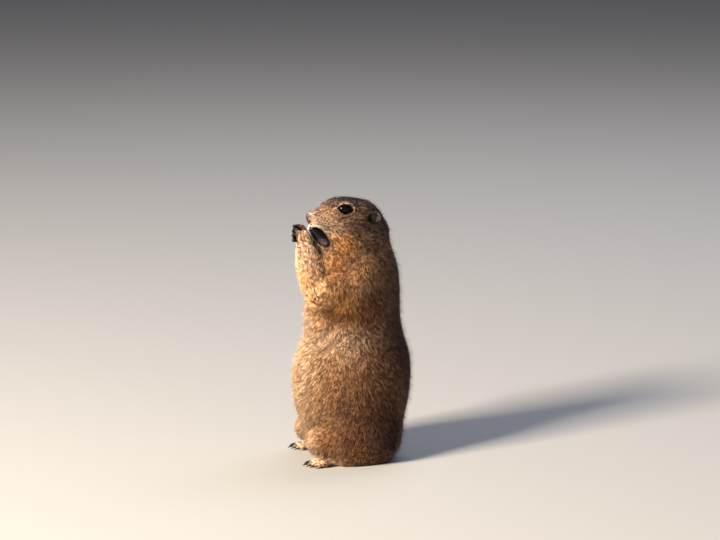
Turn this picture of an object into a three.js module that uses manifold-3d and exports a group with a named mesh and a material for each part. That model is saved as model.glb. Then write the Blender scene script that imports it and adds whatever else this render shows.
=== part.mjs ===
// A black-tailed prairie dog, life size, sitting up on its haunches with both hands at its open mouth.
// Millimetres. The animal looks along -Y, its left side is +X, up is +Z, and it rests on the floor at z = 0.
// Soft forms are fields: a function of a point that is below zero inside. Each closed skin is found by
// sending rays out of an axis until the field is zero, and is then parted with thin cuts.

import * as THREE from "three";
import { mergeVertices } from "three/addons/utils/BufferGeometryUtils.js";
import Module from "manifold-3d";

const wasm = await Module();
wasm.setup();

// Driving sizes

const GAP = 0.3; // between neighbouring pieces
const EYE_LINE = { y: -9.2, z: 235.6 }; // the point midway between the eyes
const EYE = { at: [12, 1.4, -1.7], size: [6.9, 7.5, 5.4], lid: 0.85 }; // from the eye line
const LIDS = { long: 7.2, high: 4.3, bead: 0.8, slope: 0.06 };
const EAR = { at: [18, 28.4, -9.6], size: [5.2, 4.8, 5.6], cupAt: [21.8, 25.4, -9.8], cup: [4.8, 4.6, 4.7] };
const MOUTH = { y: -20, z: -28.2, long: 12.6, high: 5.6, taper: 0.26, slope: 0.8, lip: 0.9 };
const NOSTRIL = { x: 3.9, y: -29.4, z: -14.6, wide: 1.6, deep: 2.3, high: 1.7 };
const HAND = { fingers: 4, thick: 2.0 };
const TOES = { count: 5, spread: 4.1, thick: 2.6 };
const CLAW = { hand: 6, foot: 5.6, root: 1, tip: 0.3 };

// The trunk's outline from the floor to the nape: height, front, back and half width
const TRUNK = [
  { z: -14, front: -26, back: 28, side: 28 },
  { z: 0, front: -34, back: 39.5, side: 42 },
  { z: 14, front: -41, back: 45, side: 49.5 },
  { z: 34, front: -48, back: 50, side: 53 },
  { z: 58, front: -54, back: 55.5, side: 55 },
  { z: 82, front: -54, back: 57.5, side: 54 },
  { z: 100, front: -49.5, back: 55.5, side: 50 },
  { z: 116, front: -43.5, back: 50.5, side: 46.5 },
  { z: 134, front: -43.5, back: 47.5, side: 43.5 },
  { z: 156, front: -41, back: 47.5, side: 41 },
  { z: 174, front: -35, back: 46, side: 38 },
  { z: 188, front: -26.5, back: 42.5, side: 32 },
  { z: 201, front: -13, back: 38, side: 27 },
  { z: 214, front: -1, back: 36.6, side: 19 },
  { z: 225, front: 6, back: 24.5, side: 9 },
];

// Fields

const add = (a, b) => [a[0] + b[0], a[1] + b[1], a[2] + b[2]];
const lengthOf = (x, y, z) => Math.sqrt(x * x + y * y + z * z);
const mirrored = (p, side) => [p[0] * side, p[1], p[2]];
const mix = (a, b, t) => a + (b - a) * t;

// The smaller of two fields, rounded where they meet over a width of about k
function blend(a, b, k) {
  const near = Math.max(k - Math.abs(a - b), 0) / k;
  return Math.min(a, b) - near * near * k * 0.25;
}

function ellipsoid(c, r) {
  return (x, y, z) => {
    const dx = x - c[0];
    const dy = y - c[1];
    const dz = z - c[2];
    const k = lengthOf(dx / r[0], dy / r[1], dz / r[2]);
    const g = lengthOf(dx / (r[0] * r[0]), dy / (r[1] * r[1]), dz / (r[2] * r[2]));
    return g < 1e-9 ? -Math.min(...r) : (k * (k - 1)) / g;
  };
}

// A limb that runs straight from a to b, its radius changing from ra to rb
function limb(a, b, ra, rb) {
  const d = [b[0] - a[0], b[1] - a[1], b[2] - a[2]];
  const square = d[0] * d[0] + d[1] * d[1] + d[2] * d[2];
  return (x, y, z) => {
    const t = ((x - a[0]) * d[0] + (y - a[1]) * d[1] + (z - a[2]) * d[2]) / square;
    const s = Math.min(1, Math.max(0, t));
    return lengthOf(x - a[0] - s * d[0], y - a[1] - s * d[1], z - a[2] - s * d[2]) - mix(ra, rb, s);
  };
}

// A value that follows the trunk's stations smoothly, with a cubic between each two
function atHeight(z, key) {
  let i = 0;
  while (i < TRUNK.length - 2 && z > TRUNK[i + 1].z) i += 1;
  const [p, a, b, q] = [i - 1, i, i + 1, i + 2].map((n) => TRUNK[Math.min(TRUNK.length - 1, Math.max(0, n))]);
  const span = b.z - a.z;
  const t = Math.min(1, Math.max(0, (z - a.z) / span));
  const startSlope = ((b[key] - p[key]) / Math.max(b.z - p.z, 1)) * span;
  const endSlope = ((q[key] - a[key]) / Math.max(q.z - a.z, 1)) * span;
  const u = 1 - t;
  return (
    a[key] * (1 + 2 * t) * u * u + startSlope * t * u * u + b[key] * t * t * (3 - 2 * t) - endSlope * t * t * u
  );
}

function trunk(x, y, z) {
  const front = atHeight(z, "front");
  const back = atHeight(z, "back");
  const halfDepth = (back - front) / 2;
  const halfWidth = atHeight(z, "side");
  const k = Math.hypot(x / halfWidth, (y - (back + front) / 2) / halfDepth);
  const past = Math.max(TRUNK[0].z - z, z - TRUNK[TRUNK.length - 1].z, 0);
  return (k - 1) * Math.min(halfDepth, halfWidth) + past;
}

// The two sides differ a little, as a living animal's do
const SIDES = {
  left: { side: 1, knee: [32, -34, 23], foot: { x: 35, heel: 12, y: -33 }, elbow: [30, -36, 157], wrist: [8.2, -40.5, 196] },
  right: { side: -1, knee: [32, -31, 23], foot: { x: 35, heel: 14, y: -31 }, elbow: [30, -27, 155.5], wrist: [8.8, -41.6, 200] },
};
const HAUNCH = { at: [26, 11.5, 25], size: [28, 31, 28] };
const SHOULDER = { at: [21, 3, 170], size: [21, 22, 22] };
const THROAT = { at: [15.5, -22, 178], size: [12, 13.5, 16] };
const THIGH = { at: [34, -12, 22], size: [20.5, 25, 27] };

const bodyMasses = [{ field: trunk, k: 1 }];
for (const side of [1, -1]) {
  bodyMasses.push({ field: ellipsoid(mirrored(HAUNCH.at, side), HAUNCH.size), k: 10 });
  bodyMasses.push({ field: ellipsoid(mirrored(SHOULDER.at, side), SHOULDER.size), k: 10 });
  bodyMasses.push({ field: ellipsoid(mirrored(THROAT.at, side), THROAT.size), k: 8 });
  bodyMasses.push({ field: ellipsoid(mirrored(THIGH.at, side), THIGH.size), k: 10 });
}

// Head masses, measured from the point between the eyes
const inHead = (p) => add(p, [0, EYE_LINE.y, EYE_LINE.z]);
const CRANIUM = { at: [0, 8.2, -15.2], size: [21.6, 30.8, 22.6] };
const BROW = { at: [0, -3, -8.5], size: [18, 19, 14.5] };
const CHEEK = { at: [12, 11.5, -25], size: [14.6, 18.5, 17.5] };
const SOCKET = { at: [9.6, 2.2, -2.8], size: [7.8, 12.5, 7.4] };
const PAD = { at: [6.2, -19.5, -16.5], size: [7, 9.5, 6.6] };
const MUZZLE = { from: [0, -6, -14], to: [0, -24, -11.2], back: 12.2, front: 7.6 };
const JAW = { from: [0, 4, -34], to: [0, -21.5, -37.2], back: 14, front: 7.2 };
const NOSE = { at: [0, -28.2, -9.8], size: [4.8, 3.9, 4.9] };

const headMasses = [
  { field: ellipsoid(inHead(CRANIUM.at), CRANIUM.size), k: 8 },
  { field: ellipsoid(inHead(BROW.at), BROW.size), k: 6 },
  { field: limb(inHead(MUZZLE.from), inHead(MUZZLE.to), MUZZLE.back, MUZZLE.front), k: 6 },
  { field: limb(inHead(JAW.from), inHead(JAW.to), JAW.back, JAW.front), k: 4 },
  { field: ellipsoid(inHead(NOSE.at), NOSE.size), k: 2.5 },
];
for (const side of [1, -1]) {
  headMasses.push({ field: ellipsoid(inHead(mirrored(CHEEK.at, side)), CHEEK.size), k: 6 });
  headMasses.push({ field: ellipsoid(inHead(mirrored(SOCKET.at, side)), SOCKET.size), k: 5 });
  headMasses.push({ field: ellipsoid(inHead(mirrored(PAD.at, side)), PAD.size), k: 3.5 });
}

function joined(masses) {
  return (x, y, z) => masses.reduce((whole, m) => blend(whole, m.field(x, y, z), m.k), 1e3);
}
const bodyField = joined(bodyMasses);
const headField = joined(headMasses);
const animal = (x, y, z) => blend(bodyField(x, y, z), headField(x, y, z), 14);

// Cutting planes, each through a point with the side that its normal points to
const plane = (at, normal) => {
  const n = new THREE.Vector3(...normal).normalize();
  return { at: new THREE.Vector3(...at), n, side: (x, y, z) => n.x * (x - at[0]) + n.y * (y - at[1]) + n.z * (z - at[2]) };
};
const HEAD_CUT = plane([0, 40, 218], [0, -0.339, 0.941]);
const NECK_CUT = plane([0, 0, 172], [0, -0.22, 0.975]);
const PAST_CUT = 14; // how far a skin runs on beyond the plane that trims it

// Closed skins

// A closed mesh from rings of points, each end closed on the ring's own centre
function loft(rings, closed = false) {
  const n = rings[0].length;
  const points = rings.flat(2);
  const index = [];
  const last = closed ? rings.length : rings.length - 1;
  for (let r = 0; r < last; r += 1) {
    const next = (r + 1) % rings.length;
    for (let i = 0; i < n; i += 1) {
      const j = (i + 1) % n;
      index.push(r * n + i, r * n + j, next * n + j, r * n + i, next * n + j, next * n + i);
    }
  }
  if (!closed) {
    for (const [r, flip] of [[0, true], [rings.length - 1, false]]) {
      const middle = [0, 1, 2].map((k) => rings[r].reduce((sum, p) => sum + p[k], 0) / n);
      const hub = points.length / 3;
      points.push(...middle);
      for (let i = 0; i < n; i += 1) {
        const j = (i + 1) % n;
        index.push(...(flip ? [hub, r * n + j, r * n + i] : [hub, r * n + i, r * n + j]));
      }
    }
  }
  const geometry = new THREE.BufferGeometry();
  geometry.setAttribute("position", new THREE.Float32BufferAttribute(points, 3));
  geometry.setIndex(index);
  return geometry;
}

// Where the field reaches a level along a ray, looking outwards and then halving the step
function reach(field, level, from, way, far) {
  const at = (t) => field(from[0] + way[0] * t, from[1] + way[1] * t, from[2] + way[2] * t) - level;
  const step = far / 48;
  let inner = 0;
  let outer = step;
  while (outer < far && at(outer) < 0) {
    inner = outer;
    outer += step;
  }
  for (let i = 0; i < 16; i += 1) {
    const middle = (inner + outer) / 2;
    if (at(middle) < 0) inner = middle;
    else outer = middle;
  }
  return (inner + outer) / 2;
}

// A closed skin round a field. The axis runs from one point to another; the ends are fanned.
function wrap(field, { from, to, up, around, along, fan, far, level = 0 }) {
  const a = new THREE.Vector3(...from);
  const b = new THREE.Vector3(...to);
  const w = b.clone().sub(a).normalize();
  const v = new THREE.Vector3(...up);
  v.addScaledVector(w, -v.dot(w)).normalize();
  const u = v.clone().cross(w);
  const stations = [];
  for (let i = fan; i > 0; i -= 1) stations.push({ t: 0, tilt: (-Math.PI / 2) * (i / (fan + 0.35)) });
  for (let i = 0; i <= along; i += 1) stations.push({ t: i / along, tilt: 0 });
  for (let i = 1; i <= fan; i += 1) stations.push({ t: 1, tilt: (Math.PI / 2) * (i / (fan + 0.35)) });
  const rings = stations.map(({ t, tilt }) => {
    const c = a.clone().lerp(b, t);
    return Array.from({ length: around }, (_, i) => {
      const angle = (2 * Math.PI * i) / around;
      const way = u.clone().multiplyScalar(Math.cos(angle)).addScaledVector(v, Math.sin(angle));
      way.multiplyScalar(Math.cos(tilt)).addScaledVector(w, Math.sin(tilt));
      const r = reach(field, level, c.toArray(), way.toArray(), far);
      return c.clone().addScaledVector(way, r).toArray();
    });
  });
  return loft(rings);
}

// A closed tube along a smooth curve: each station is [x, y, z, half width, half height], with rounded ends
function tube(stations, { sides = 12, steps = 12, up = [0, 0, 1], grow = 0, round = 3 }) {
  const curve = new THREE.CatmullRomCurve3(stations.map((s) => new THREE.Vector3(s[0], s[1], s[2])), false, "centripetal");
  const sizeAt = (t, k) => {
    const f = Math.min(0.99999, Math.max(0, t)) * (stations.length - 1);
    const i = Math.floor(f);
    return mix(stations[i][k], stations[i + 1][k], f - i) + grow;
  };
  const rings = [];
  const put = (t, shift, scale) => {
    const c = curve.getPoint(t);
    const w = curve.getTangent(t).normalize();
    const v = new THREE.Vector3(...up);
    v.addScaledVector(w, -v.dot(w)).normalize();
    const u = v.clone().cross(w);
    c.addScaledVector(w, shift);
    rings.push(
      Array.from({ length: sides }, (_, i) => {
        const angle = (2 * Math.PI * i) / sides;
        return c
          .clone()
          .addScaledVector(u, Math.cos(angle) * sizeAt(t, 3) * scale)
          .addScaledVector(v, Math.sin(angle) * sizeAt(t, 4) * scale)
          .toArray();
      }),
    );
  };
  for (let i = round; i > 0; i -= 1) {
    const bow = ((i / (round + 0.4)) * Math.PI) / 2;
    put(0, -sizeAt(0, 4) * Math.sin(bow), Math.cos(bow));
  }
  for (let i = 0; i <= steps; i += 1) put(i / steps, 0, 1);
  for (let i = 1; i <= round; i += 1) {
    const bow = ((i / (round + 0.4)) * Math.PI) / 2;
    put(1, sizeAt(1, 4) * Math.sin(bow), Math.cos(bow));
  }
  return loft(rings);
}

// Solids: joining and cutting

function solid(geometry) {
  const bare = new THREE.BufferGeometry();
  const source = geometry.index ? geometry.toNonIndexed() : geometry;
  bare.setAttribute("position", source.getAttribute("position").clone());
  const merged = mergeVertices(bare, 1e-4);
  const vertProperties = merged.getAttribute("position").array;
  const triVerts = new Uint32Array(merged.index.array);
  const made = new wasm.Manifold(new wasm.Mesh({ numProp: 3, vertProperties, triVerts }));
  if (made.volume() > 0) return made;
  for (let i = 0; i < triVerts.length; i += 3) [triVerts[i + 1], triVerts[i + 2]] = [triVerts[i + 2], triVerts[i + 1]];
  return new wasm.Manifold(new wasm.Mesh({ numProp: 3, vertProperties, triVerts }));
}

const union = (pieces) => pieces.reduce((whole, piece) => whole.add(piece));

// Only the largest closed surface is kept, so that no scrap or sealed hollow stays
function largest(piece) {
  const parts = piece.decompose();
  return parts.reduce((best, p) => (p.volume() > best.volume() ? p : best), parts[0]);
}

function geometryOf(piece) {
  const mesh = piece.getMesh();
  const n = mesh.numProp;
  const points = new Float32Array(mesh.numVert * 3);
  for (let i = 0; i < mesh.numVert; i += 1) points.set(mesh.vertProperties.subarray(i * n, i * n + 3), i * 3);
  const geometry = new THREE.BufferGeometry();
  geometry.setAttribute("position", new THREE.BufferAttribute(points, 3));
  geometry.setIndex(new THREE.BufferAttribute(mesh.triVerts, 1));
  geometry.computeVertexNormals();
  return geometry;
}

// A box that stands on a plane and reaches along its normal, moved off the plane by a shift
const BIG = 400;
function beyond(cut, shift = 0) {
  const box = new THREE.BoxGeometry(BIG, BIG, BIG);
  box.translate(0, 0, BIG / 2 + shift);
  box.applyQuaternion(new THREE.Quaternion().setFromUnitVectors(new THREE.Vector3(0, 0, 1), cut.n));
  box.translate(...cut.at.toArray());
  return solid(box);
}

function ball(at, size, turn = [0, 0, 0], detail = [20, 12]) {
  const sphere = new THREE.SphereGeometry(1, ...detail);
  sphere.scale(...size);
  sphere.applyQuaternion(new THREE.Quaternion().setFromEuler(new THREE.Euler(...turn, "XYZ")));
  sphere.translate(...at);
  return solid(sphere);
}

const FLOOR = beyond(plane([0, 0, 0], [0, 0, -1]));

// Materials

const finish = (color, roughness = 0.9) => new THREE.MeshStandardMaterial({ color, roughness, metalness: 0 });
const MATERIALS = {
  coat: finish(0xa5794a),
  pale: finish(0xcfa873),
  face: finish(0x9a7350),
  claw: finish(0x1d191a, 0.45),
  eye: finish(0x0d0a09, 0.1),
  tooth: finish(0xe8dfc8, 0.35),
  tongue: finish(0x5c3338, 0.5),
};

const prairieDog = new THREE.Group();
function node(name, piece, material) {
  const mesh = new THREE.Mesh(geometryOf(largest(piece)), material);
  mesh.name = name;
  prairieDog.add(mesh);
}

// Legs and arms that stand clear of the body

function footStations({ side, foot }) {
  const x = foot.x;
  return [
    [x * side, foot.heel, 6.4, 6.2, 6.6],
    [(x + 0.5) * side, mix(foot.heel, foot.y, 0.5), 6, 7.2, 6.4],
    [(x + 0.5) * side, foot.y, 4, 9.4, 4.6],
  ];
}

function toePath({ side, foot }, i) {
  const across = (i - (TOES.count - 1) / 2) * TOES.spread;
  const long = 14.5 - Math.abs(i - 2) * 2.1;
  const root = [(foot.x + 0.5) * side + across, foot.y + 1, 3.4];
  const tip = [root[0] + across * 0.16, root[1] - long, 2.5];
  const knuckle = [mix(root[0], tip[0], 0.5), mix(root[1], tip[1], 0.5), 3.9];
  return { root, knuckle, tip };
}

function makeFoot(limbSide, grow = 0) {
  const pieces = [solid(tube(footStations(limbSide), { sides: 12, steps: 6, grow, round: 2 }))];
  const t = TOES.thick;
  for (let i = 0; i < TOES.count; i += 1) {
    const { root, knuckle, tip } = toePath(limbSide, i);
    const along = [[...root, t, t], [...knuckle, t, t], [...tip, t * 0.86, t * 0.84]];
    pieces.push(solid(tube(along, { sides: 6, steps: 3, grow, round: 1 })));
  }
  return union(pieces).subtract(FLOOR);
}

function claw(root, way, length, droop) {
  const w = new THREE.Vector3(...way).normalize();
  const along = [0, 0.4, 0.75, 1].map((t) => {
    const p = new THREE.Vector3(...root).addScaledVector(w, length * t);
    const r = mix(CLAW.root, CLAW.tip, t ** 1.3);
    return [p.x, p.y, p.z - droop * t * t, r * 0.85, r * 1.15];
  });
  return solid(tube(along, { sides: 5, steps: 2, round: 1, up: [0.15, 0.1, 0.98] }));
}

function makeFootClaw(limbSide, i) {
  const { root, tip } = toePath(limbSide, i);
  const way = [tip[0] - root[0], tip[1] - root[1], 0.4];
  return claw([tip[0], tip[1] - TOES.thick * 0.5, 2.9], way, CLAW.foot, 1.4);
}

const thighStations = ({ side, knee }) => [
  [...mirrored([27, 6, 38], side), 22, 24],
  [...mirrored([30, -15, 31], side), 19.5, 21],
  [...mirrored(knee, side), 15, 16],
];

const upperArmStations = ({ side, elbow }) => [
  [...mirrored([21, 2, 170], side), 17, 18],
  [...mirrored([26.5, mix(2, elbow[1], 0.56), 163], side), 15.4, 16],
  [...mirrored(elbow, side), 12.6, 13.4],
];

// The forearm rises from the elbow to a slender wrist under the mouth
function forearmStations({ side, elbow, wrist }) {
  const at = (t) => elbow.map((e, k) => mix(e, wrist[k], t));
  return [
    [...mirrored(add(elbow, [-0.5, 1, -1]), side), 12, 12.4],
    [...mirrored(add(at(0.35), [0.6, 0.8, 0]), side), 11.8, 15],
    [...mirrored(add(at(0.72), [0, 0.8, 0]), side), 9.4, 12],
    [...mirrored(at(1), side), 6.4, 7.2],
  ];
}

// A hand: a palm, four bent fingers and a small thumb, closed round where food was held.
// Each finger goes out of the palm along one way and bends into another, its neighbours set off by a step.
const GRIPS = {
  left: { row: [0, -0.9, 3.8], out: [-0.32, -0.78, 0.5], curl: [-0.93, -0.05, 0.36], long: [5.2, 5.2] },
  right: { row: [0, 0.3, 4.3], out: [0.3, -0.95, 0.1], curl: [0.95, -0.3, 0.15], long: [5.4, 5.6] },
};

function fingerPath(label, i) {
  const { side, wrist } = SIDES[label];
  const { row, out, curl, long } = GRIPS[label];
  const w = mirrored(wrist, side);
  const palm = add(w, [-1.4 * side, -2.2, 8]);
  const shift = i - (HAND.fingers - 1) / 2;
  const middle = 1 - Math.abs(i - 1.6) * 0.08;
  const knuckle = add(palm, [shift * row[0] - 0.3 * side, shift * row[1] - 3, shift * row[2] + 1.4]);
  const bend = knuckle.map((c, k) => c + out[k] * long[0] * middle);
  const tip = bend.map((c, k) => c + curl[k] * long[1] * middle);
  return { w, palm, knuckle, bend, tip };
}

function makeHand(label, grow = 0) {
  const { side } = SIDES[label];
  const { w, palm } = fingerPath(label, 0);
  const t = HAND.thick;
  const heel = [...add(w, [0, 0, 1.4]), 5.2, 5.6];
  const middle = [...palm, 4.2, 6.6];
  const top = [...add(palm, [-0.4 * side, -1.6, 5]), 3.3, 6];
  const pieces = [solid(tube([heel, middle, top], { sides: 12, steps: 5, grow, up: [0.15 * side, -1, 0.2], round: 2 }))];
  for (let i = 0; i < HAND.fingers; i += 1) {
    const { knuckle, bend, tip } = fingerPath(label, i);
    const root = palm.map((c, k) => mix(c, knuckle[k], 0.45));
    const along = [[...root, t, t], [...knuckle, t, t], [...bend, t * 0.94, t * 0.94], [...tip, t * 0.8, t * 0.8]];
    pieces.push(solid(tube(along, { sides: 6, steps: 4, grow, round: 1, up: [0, 0.1, 1] })));
  }
  const thumb = add(palm, [-3.4 * side, 2, 2.4]);
  const along = [[...add(palm, [0, 0, -1]), 2, 2], [...thumb, 1.7, 1.7]];
  pieces.push(solid(tube(along, { sides: 6, steps: 2, grow, round: 1 })));
  return union(pieces);
}

function makeHandClaw(label, i) {
  const { bend, tip } = fingerPath(label, i);
  const way = new THREE.Vector3(...tip).sub(new THREE.Vector3(...bend)).normalize();
  const start = tip.map((c, k) => c + way.getComponent(k) * HAND.thick * 0.5);
  const { side } = SIDES[label];
  return claw(start, [way.x - 0.25 * side, way.y, way.z - 0.1], CLAW.hand, 0.6);
}

// The tail lies on the floor and bends round to the animal's right, out of the photo's sight
const TAIL = [
  [0, 27, 13, 9, 9],
  [-5, 38.5, 9.5, 10, 8.4],
  [-20, 45, 7.8, 10.2, 7.6],
  [-43, 44, 7, 10.2, 7.2],
  [-64, 32, 6, 9.2, 6.2],
  [-78, 16, 4.4, 4.8, 4],
];
const makeTail = () => solid(tube(TAIL, { sides: 12, steps: 11, round: 3 })).subtract(FLOOR);

// The head and what it carries

// The mouth is an open oval seen from the side, its long way sloping down to the corner of the lips
function mouthAlong(a, b) {
  const c = Math.cos(MOUTH.slope);
  const s = Math.sin(MOUTH.slope);
  return [MOUTH.y + a * c + b * s, MOUTH.z - a * s + b * c];
}

function mouthPoint(angle, grow = 0) {
  const high = MOUTH.high * (1 - MOUTH.taper * Math.cos(angle)) + grow;
  return mouthAlong((MOUTH.long + grow) * Math.cos(angle), high * Math.sin(angle));
}

// An almond-shaped opening between the lids, seen from the side
function lidPoint(angle, grow = 0) {
  const a = (LIDS.long + grow) * Math.cos(angle);
  const b = (LIDS.high + grow) * Math.sin(angle) * (1 - 0.2 * Math.cos(angle) ** 2);
  return [EYE.at[1] + a, EYE.at[2] + b - a * LIDS.slope];
}

const turn = (count) => Array.from({ length: count }, (_, i) => (2 * Math.PI * i) / count);
const eyeCentre = (side) => inHead(mirrored(EYE.at, side));
const eyeSize = (grow) => EYE.size.map((s) => s + grow);
const lidField = ellipsoid(eyeCentre(1), eyeSize(EYE.lid));
const faceField = (x, y, z) => Math.min(animal(x, y, z), lidField(Math.abs(x), y, z));

// A closed bead that follows an outline over the side of the face, where a sideways ray leaves it
function bead(outline, side, radius, sink, sides = 5) {
  const points = outline.map(([y, z]) => {
    const from = inHead([4, y, z]);
    const x = 4 + reach(faceField, 0, from, [1, 0, 0], 30);
    return new THREE.Vector3(side * (x - sink), from[1], from[2]);
  });
  const n = points.length;
  const middle = points.reduce((sum, p) => sum.add(p), new THREE.Vector3()).divideScalar(n);
  const rings = points.map((p, i) => {
    const w = points[(i + 1) % n].clone().sub(points[(i + n - 1) % n]).normalize();
    const u = p.clone().sub(middle);
    u.addScaledVector(w, -u.dot(w)).normalize();
    const v = w.clone().cross(u);
    return turn(sides).map((angle) => {
      const out = p.clone().addScaledVector(u, Math.cos(angle) * radius).addScaledVector(v, Math.sin(angle) * radius);
      return out.toArray();
    });
  });
  return solid(loft(rings, true));
}

// A straight hollow across the head with a given outline, from one distance off the middle to another
function across(outline, from, to) {
  const prism = loft([from, to].map((x) => outline.map(([y, z]) => [x, y, z])));
  prism.translate(0, EYE_LINE.y, EYE_LINE.z);
  return solid(prism);
}

// The lips run from beside the upper teeth, round the corner of the mouth, to beside the lower ones
function lips(side) {
  const along = Array.from({ length: 13 }, (_, i) => {
    const from = inHead([2, ...mouthPoint(Math.PI * mix(0.8, -0.56, i / 12), 0.6)]);
    const x = 2 + reach(faceField, 0, from, [1, 0, 0], 30);
    return [side * (x - 0.5), from[1], from[2], MOUTH.lip, MOUTH.lip];
  });
  return solid(tube(along, { sides: 6, steps: 13, round: 1, up: [1, 0, 0] }));
}
const lidEdge = (side) => bead(turn(14).map((angle) => lidPoint(angle, 0.5)), side, LIDS.bead, 0.25);
const makeEye = (side, grow = 0) => ball(eyeCentre(side), eyeSize(grow), [0, 0, 0], [16, 9]);
const lidBall = (side) => makeEye(side, EYE.lid);

// The ear is a low rounded cup that opens forwards and out
function makeEar(side) {
  const lean = [0.05, -0.1 * side, 0.1 * side];
  const outer = ball(inHead(mirrored(EAR.at, side)), EAR.size, lean, [14, 9]);
  return outer.subtract(ball(inHead(mirrored(EAR.cupAt, side)), EAR.cup, lean, [12, 8]));
}

function nostril(side) {
  const at = inHead([NOSTRIL.x * side, NOSTRIL.y, NOSTRIL.z]);
  return ball(at, [NOSTRIL.wide, NOSTRIL.deep, NOSTRIL.high], [0.2, 0, 0.6 * side], [8, 6]);
}

function incisors(root, tip, grow = 0) {
  const pair = [1, -1].map((side) => {
    const bow = [0, mix(root[1], tip[1], 0.5) - 0.7, mix(root[2], tip[2], 0.5)];
    const along = [root, bow, tip].map((p, i) => [...inHead(add(p, [side, 0, 0])), 1.1 - i * 0.05, 1.25 - i * 0.2]);
    return solid(tube(along, { sides: 6, steps: 4, grow, round: 1, up: [0, -1, 0] }));
  });
  return union(pair);
}
const UPPER_TEETH = [[0, -28, -17.4], [0, -29.8, -21.4]];
const LOWER_TEETH = [[0, -22, -37], [0, -27.6, -27]];

// The tongue and the floor of the mouth fill the middle of the open oval
const mouthAt = (along, offset) => inHead([0, ...mouthAlong(along, offset)]);
const TONGUE = [
  [...mouthAt(9.5, -0.2), 4.8, 3.9],
  [...mouthAt(4, 0), 5.2, 5.7],
  [...mouthAt(-3, 0.3), 4.8, 6],
  [...mouthAt(-8.6, 0.3), 3.6, 3.8],
];
const makeTongue = (grow = 0) => solid(tube(TONGUE, { sides: 9, steps: 5, round: 2, up: [0, -1, 0.8], grow }));

function headSkin(level = 0) {
  const trimmed = (x, y, z) => Math.max(animal(x, y, z), -HEAD_CUT.side(x, y, z) - PAST_CUT);
  const axis = { from: inHead([0, 20, -18]), to: inHead([0, -15, -19]), up: [0, 0, 1] };
  return solid(wrap(trimmed, { ...axis, around: 32, along: 14, fan: 8, far: 70, level }));
}

// The jaw hangs clear of the muzzle, so it has a solid of its own before the two are joined
const jawTube = (grow = 0) =>
  solid(
    tube(
      [
        [...inHead(JAW.from), JAW.back, JAW.back],
        [...inHead([0, mix(JAW.from[1], JAW.to[1], 0.6), mix(JAW.from[2], JAW.to[2], 0.6)]), 9.4, 9.8],
        [...inHead(JAW.to), JAW.front, JAW.front],
      ],
      { sides: 14, steps: 5, round: 4, grow },
    ),
  );

function makeHead() {
  let head = headSkin().add(jawTube()).intersect(beyond(HEAD_CUT));
  for (const side of [1, -1]) {
    const opening = turn(14).map((angle) => lidPoint(angle));
    head = head.add(lidBall(side)).add(lidEdge(side)).add(lips(side));
    head = head.subtract(across(opening, side * (EYE.at[0] + 2), side * 40));
    head = head.subtract(makeEye(side, GAP)).subtract(nostril(side));
    head = head.subtract(ball(inHead(mirrored(EAR.cupAt, side)), EAR.cup, [0, 0, 0], [10, 7]));
  }
  return head.subtract(across(turn(20).map((angle) => mouthPoint(angle)), -40, 40));
}

// The lower jaw is what lies in front of and under two planes through the open mouth
const CORNER = [0, ...mouthPoint(0, -1.5)];
const JAW_BACK = plane(inHead(CORNER), [0, -0.9, -0.44]);
const JAW_TOP = plane(inHead([0, ...mouthPoint(Math.PI, -4)]), [0, -0.35, -0.94]);
const jawRegion = (shift) => beyond(JAW_BACK, shift).intersect(beyond(JAW_TOP, shift));

function bodySkin(level = 0) {
  const trimmed = (x, y, z) => Math.max(animal(x, y, z), HEAD_CUT.side(x, y, z) - PAST_CUT);
  const axis = { from: [0, 3, 30], to: [0, 8, 188], up: [0, 1, 0] };
  return solid(wrap(trimmed, { ...axis, around: 30, along: 24, fan: 6, far: 110, level }));
}

// Boxes that take the upper arms and the thighs out of the body
const REGIONS = {
  upper_arm: { at: [45, -28, 163], size: [48, 52, 50], turn: -0.45 },
  thigh: { at: [52, -12, 36], size: [52, 92, 84], turn: 0 },
};
function region(name, side, grow = 0) {
  const box = new THREE.BoxGeometry(...REGIONS[name].size.map((s) => s + 2 * grow));
  box.rotateZ(REGIONS[name].turn * side);
  box.translate(...mirrored(REGIONS[name].at, side));
  return solid(box);
}

// Assembly

const headWhole = makeHead();
const headGrown = headSkin(GAP).add(jawTube(GAP));
let bodyGrown = bodySkin(GAP);
for (const limbSide of Object.values(SIDES)) {
  bodyGrown = bodyGrown.add(solid(tube(upperArmStations(limbSide), { sides: 16, steps: 5, round: 4, grow: GAP })));
}
let body = bodySkin();
for (const limbSide of Object.values(SIDES)) {
  body = body.add(solid(tube(thighStations(limbSide), { sides: 14, steps: 4, round: 3 })));
  body = body.add(solid(tube(upperArmStations(limbSide), { sides: 16, steps: 5, round: 4 })));
}
body = body.subtract(FLOOR).subtract(beyond(HEAD_CUT, -GAP));
const teethGrown = union([incisors(...UPPER_TEETH, GAP), incisors(...LOWER_TEETH, GAP)]);
const tongueGrown = makeTongue(GAP);
const handsGrown = union(Object.keys(SIDES).map((label) => makeHand(label, GAP)));

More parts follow.
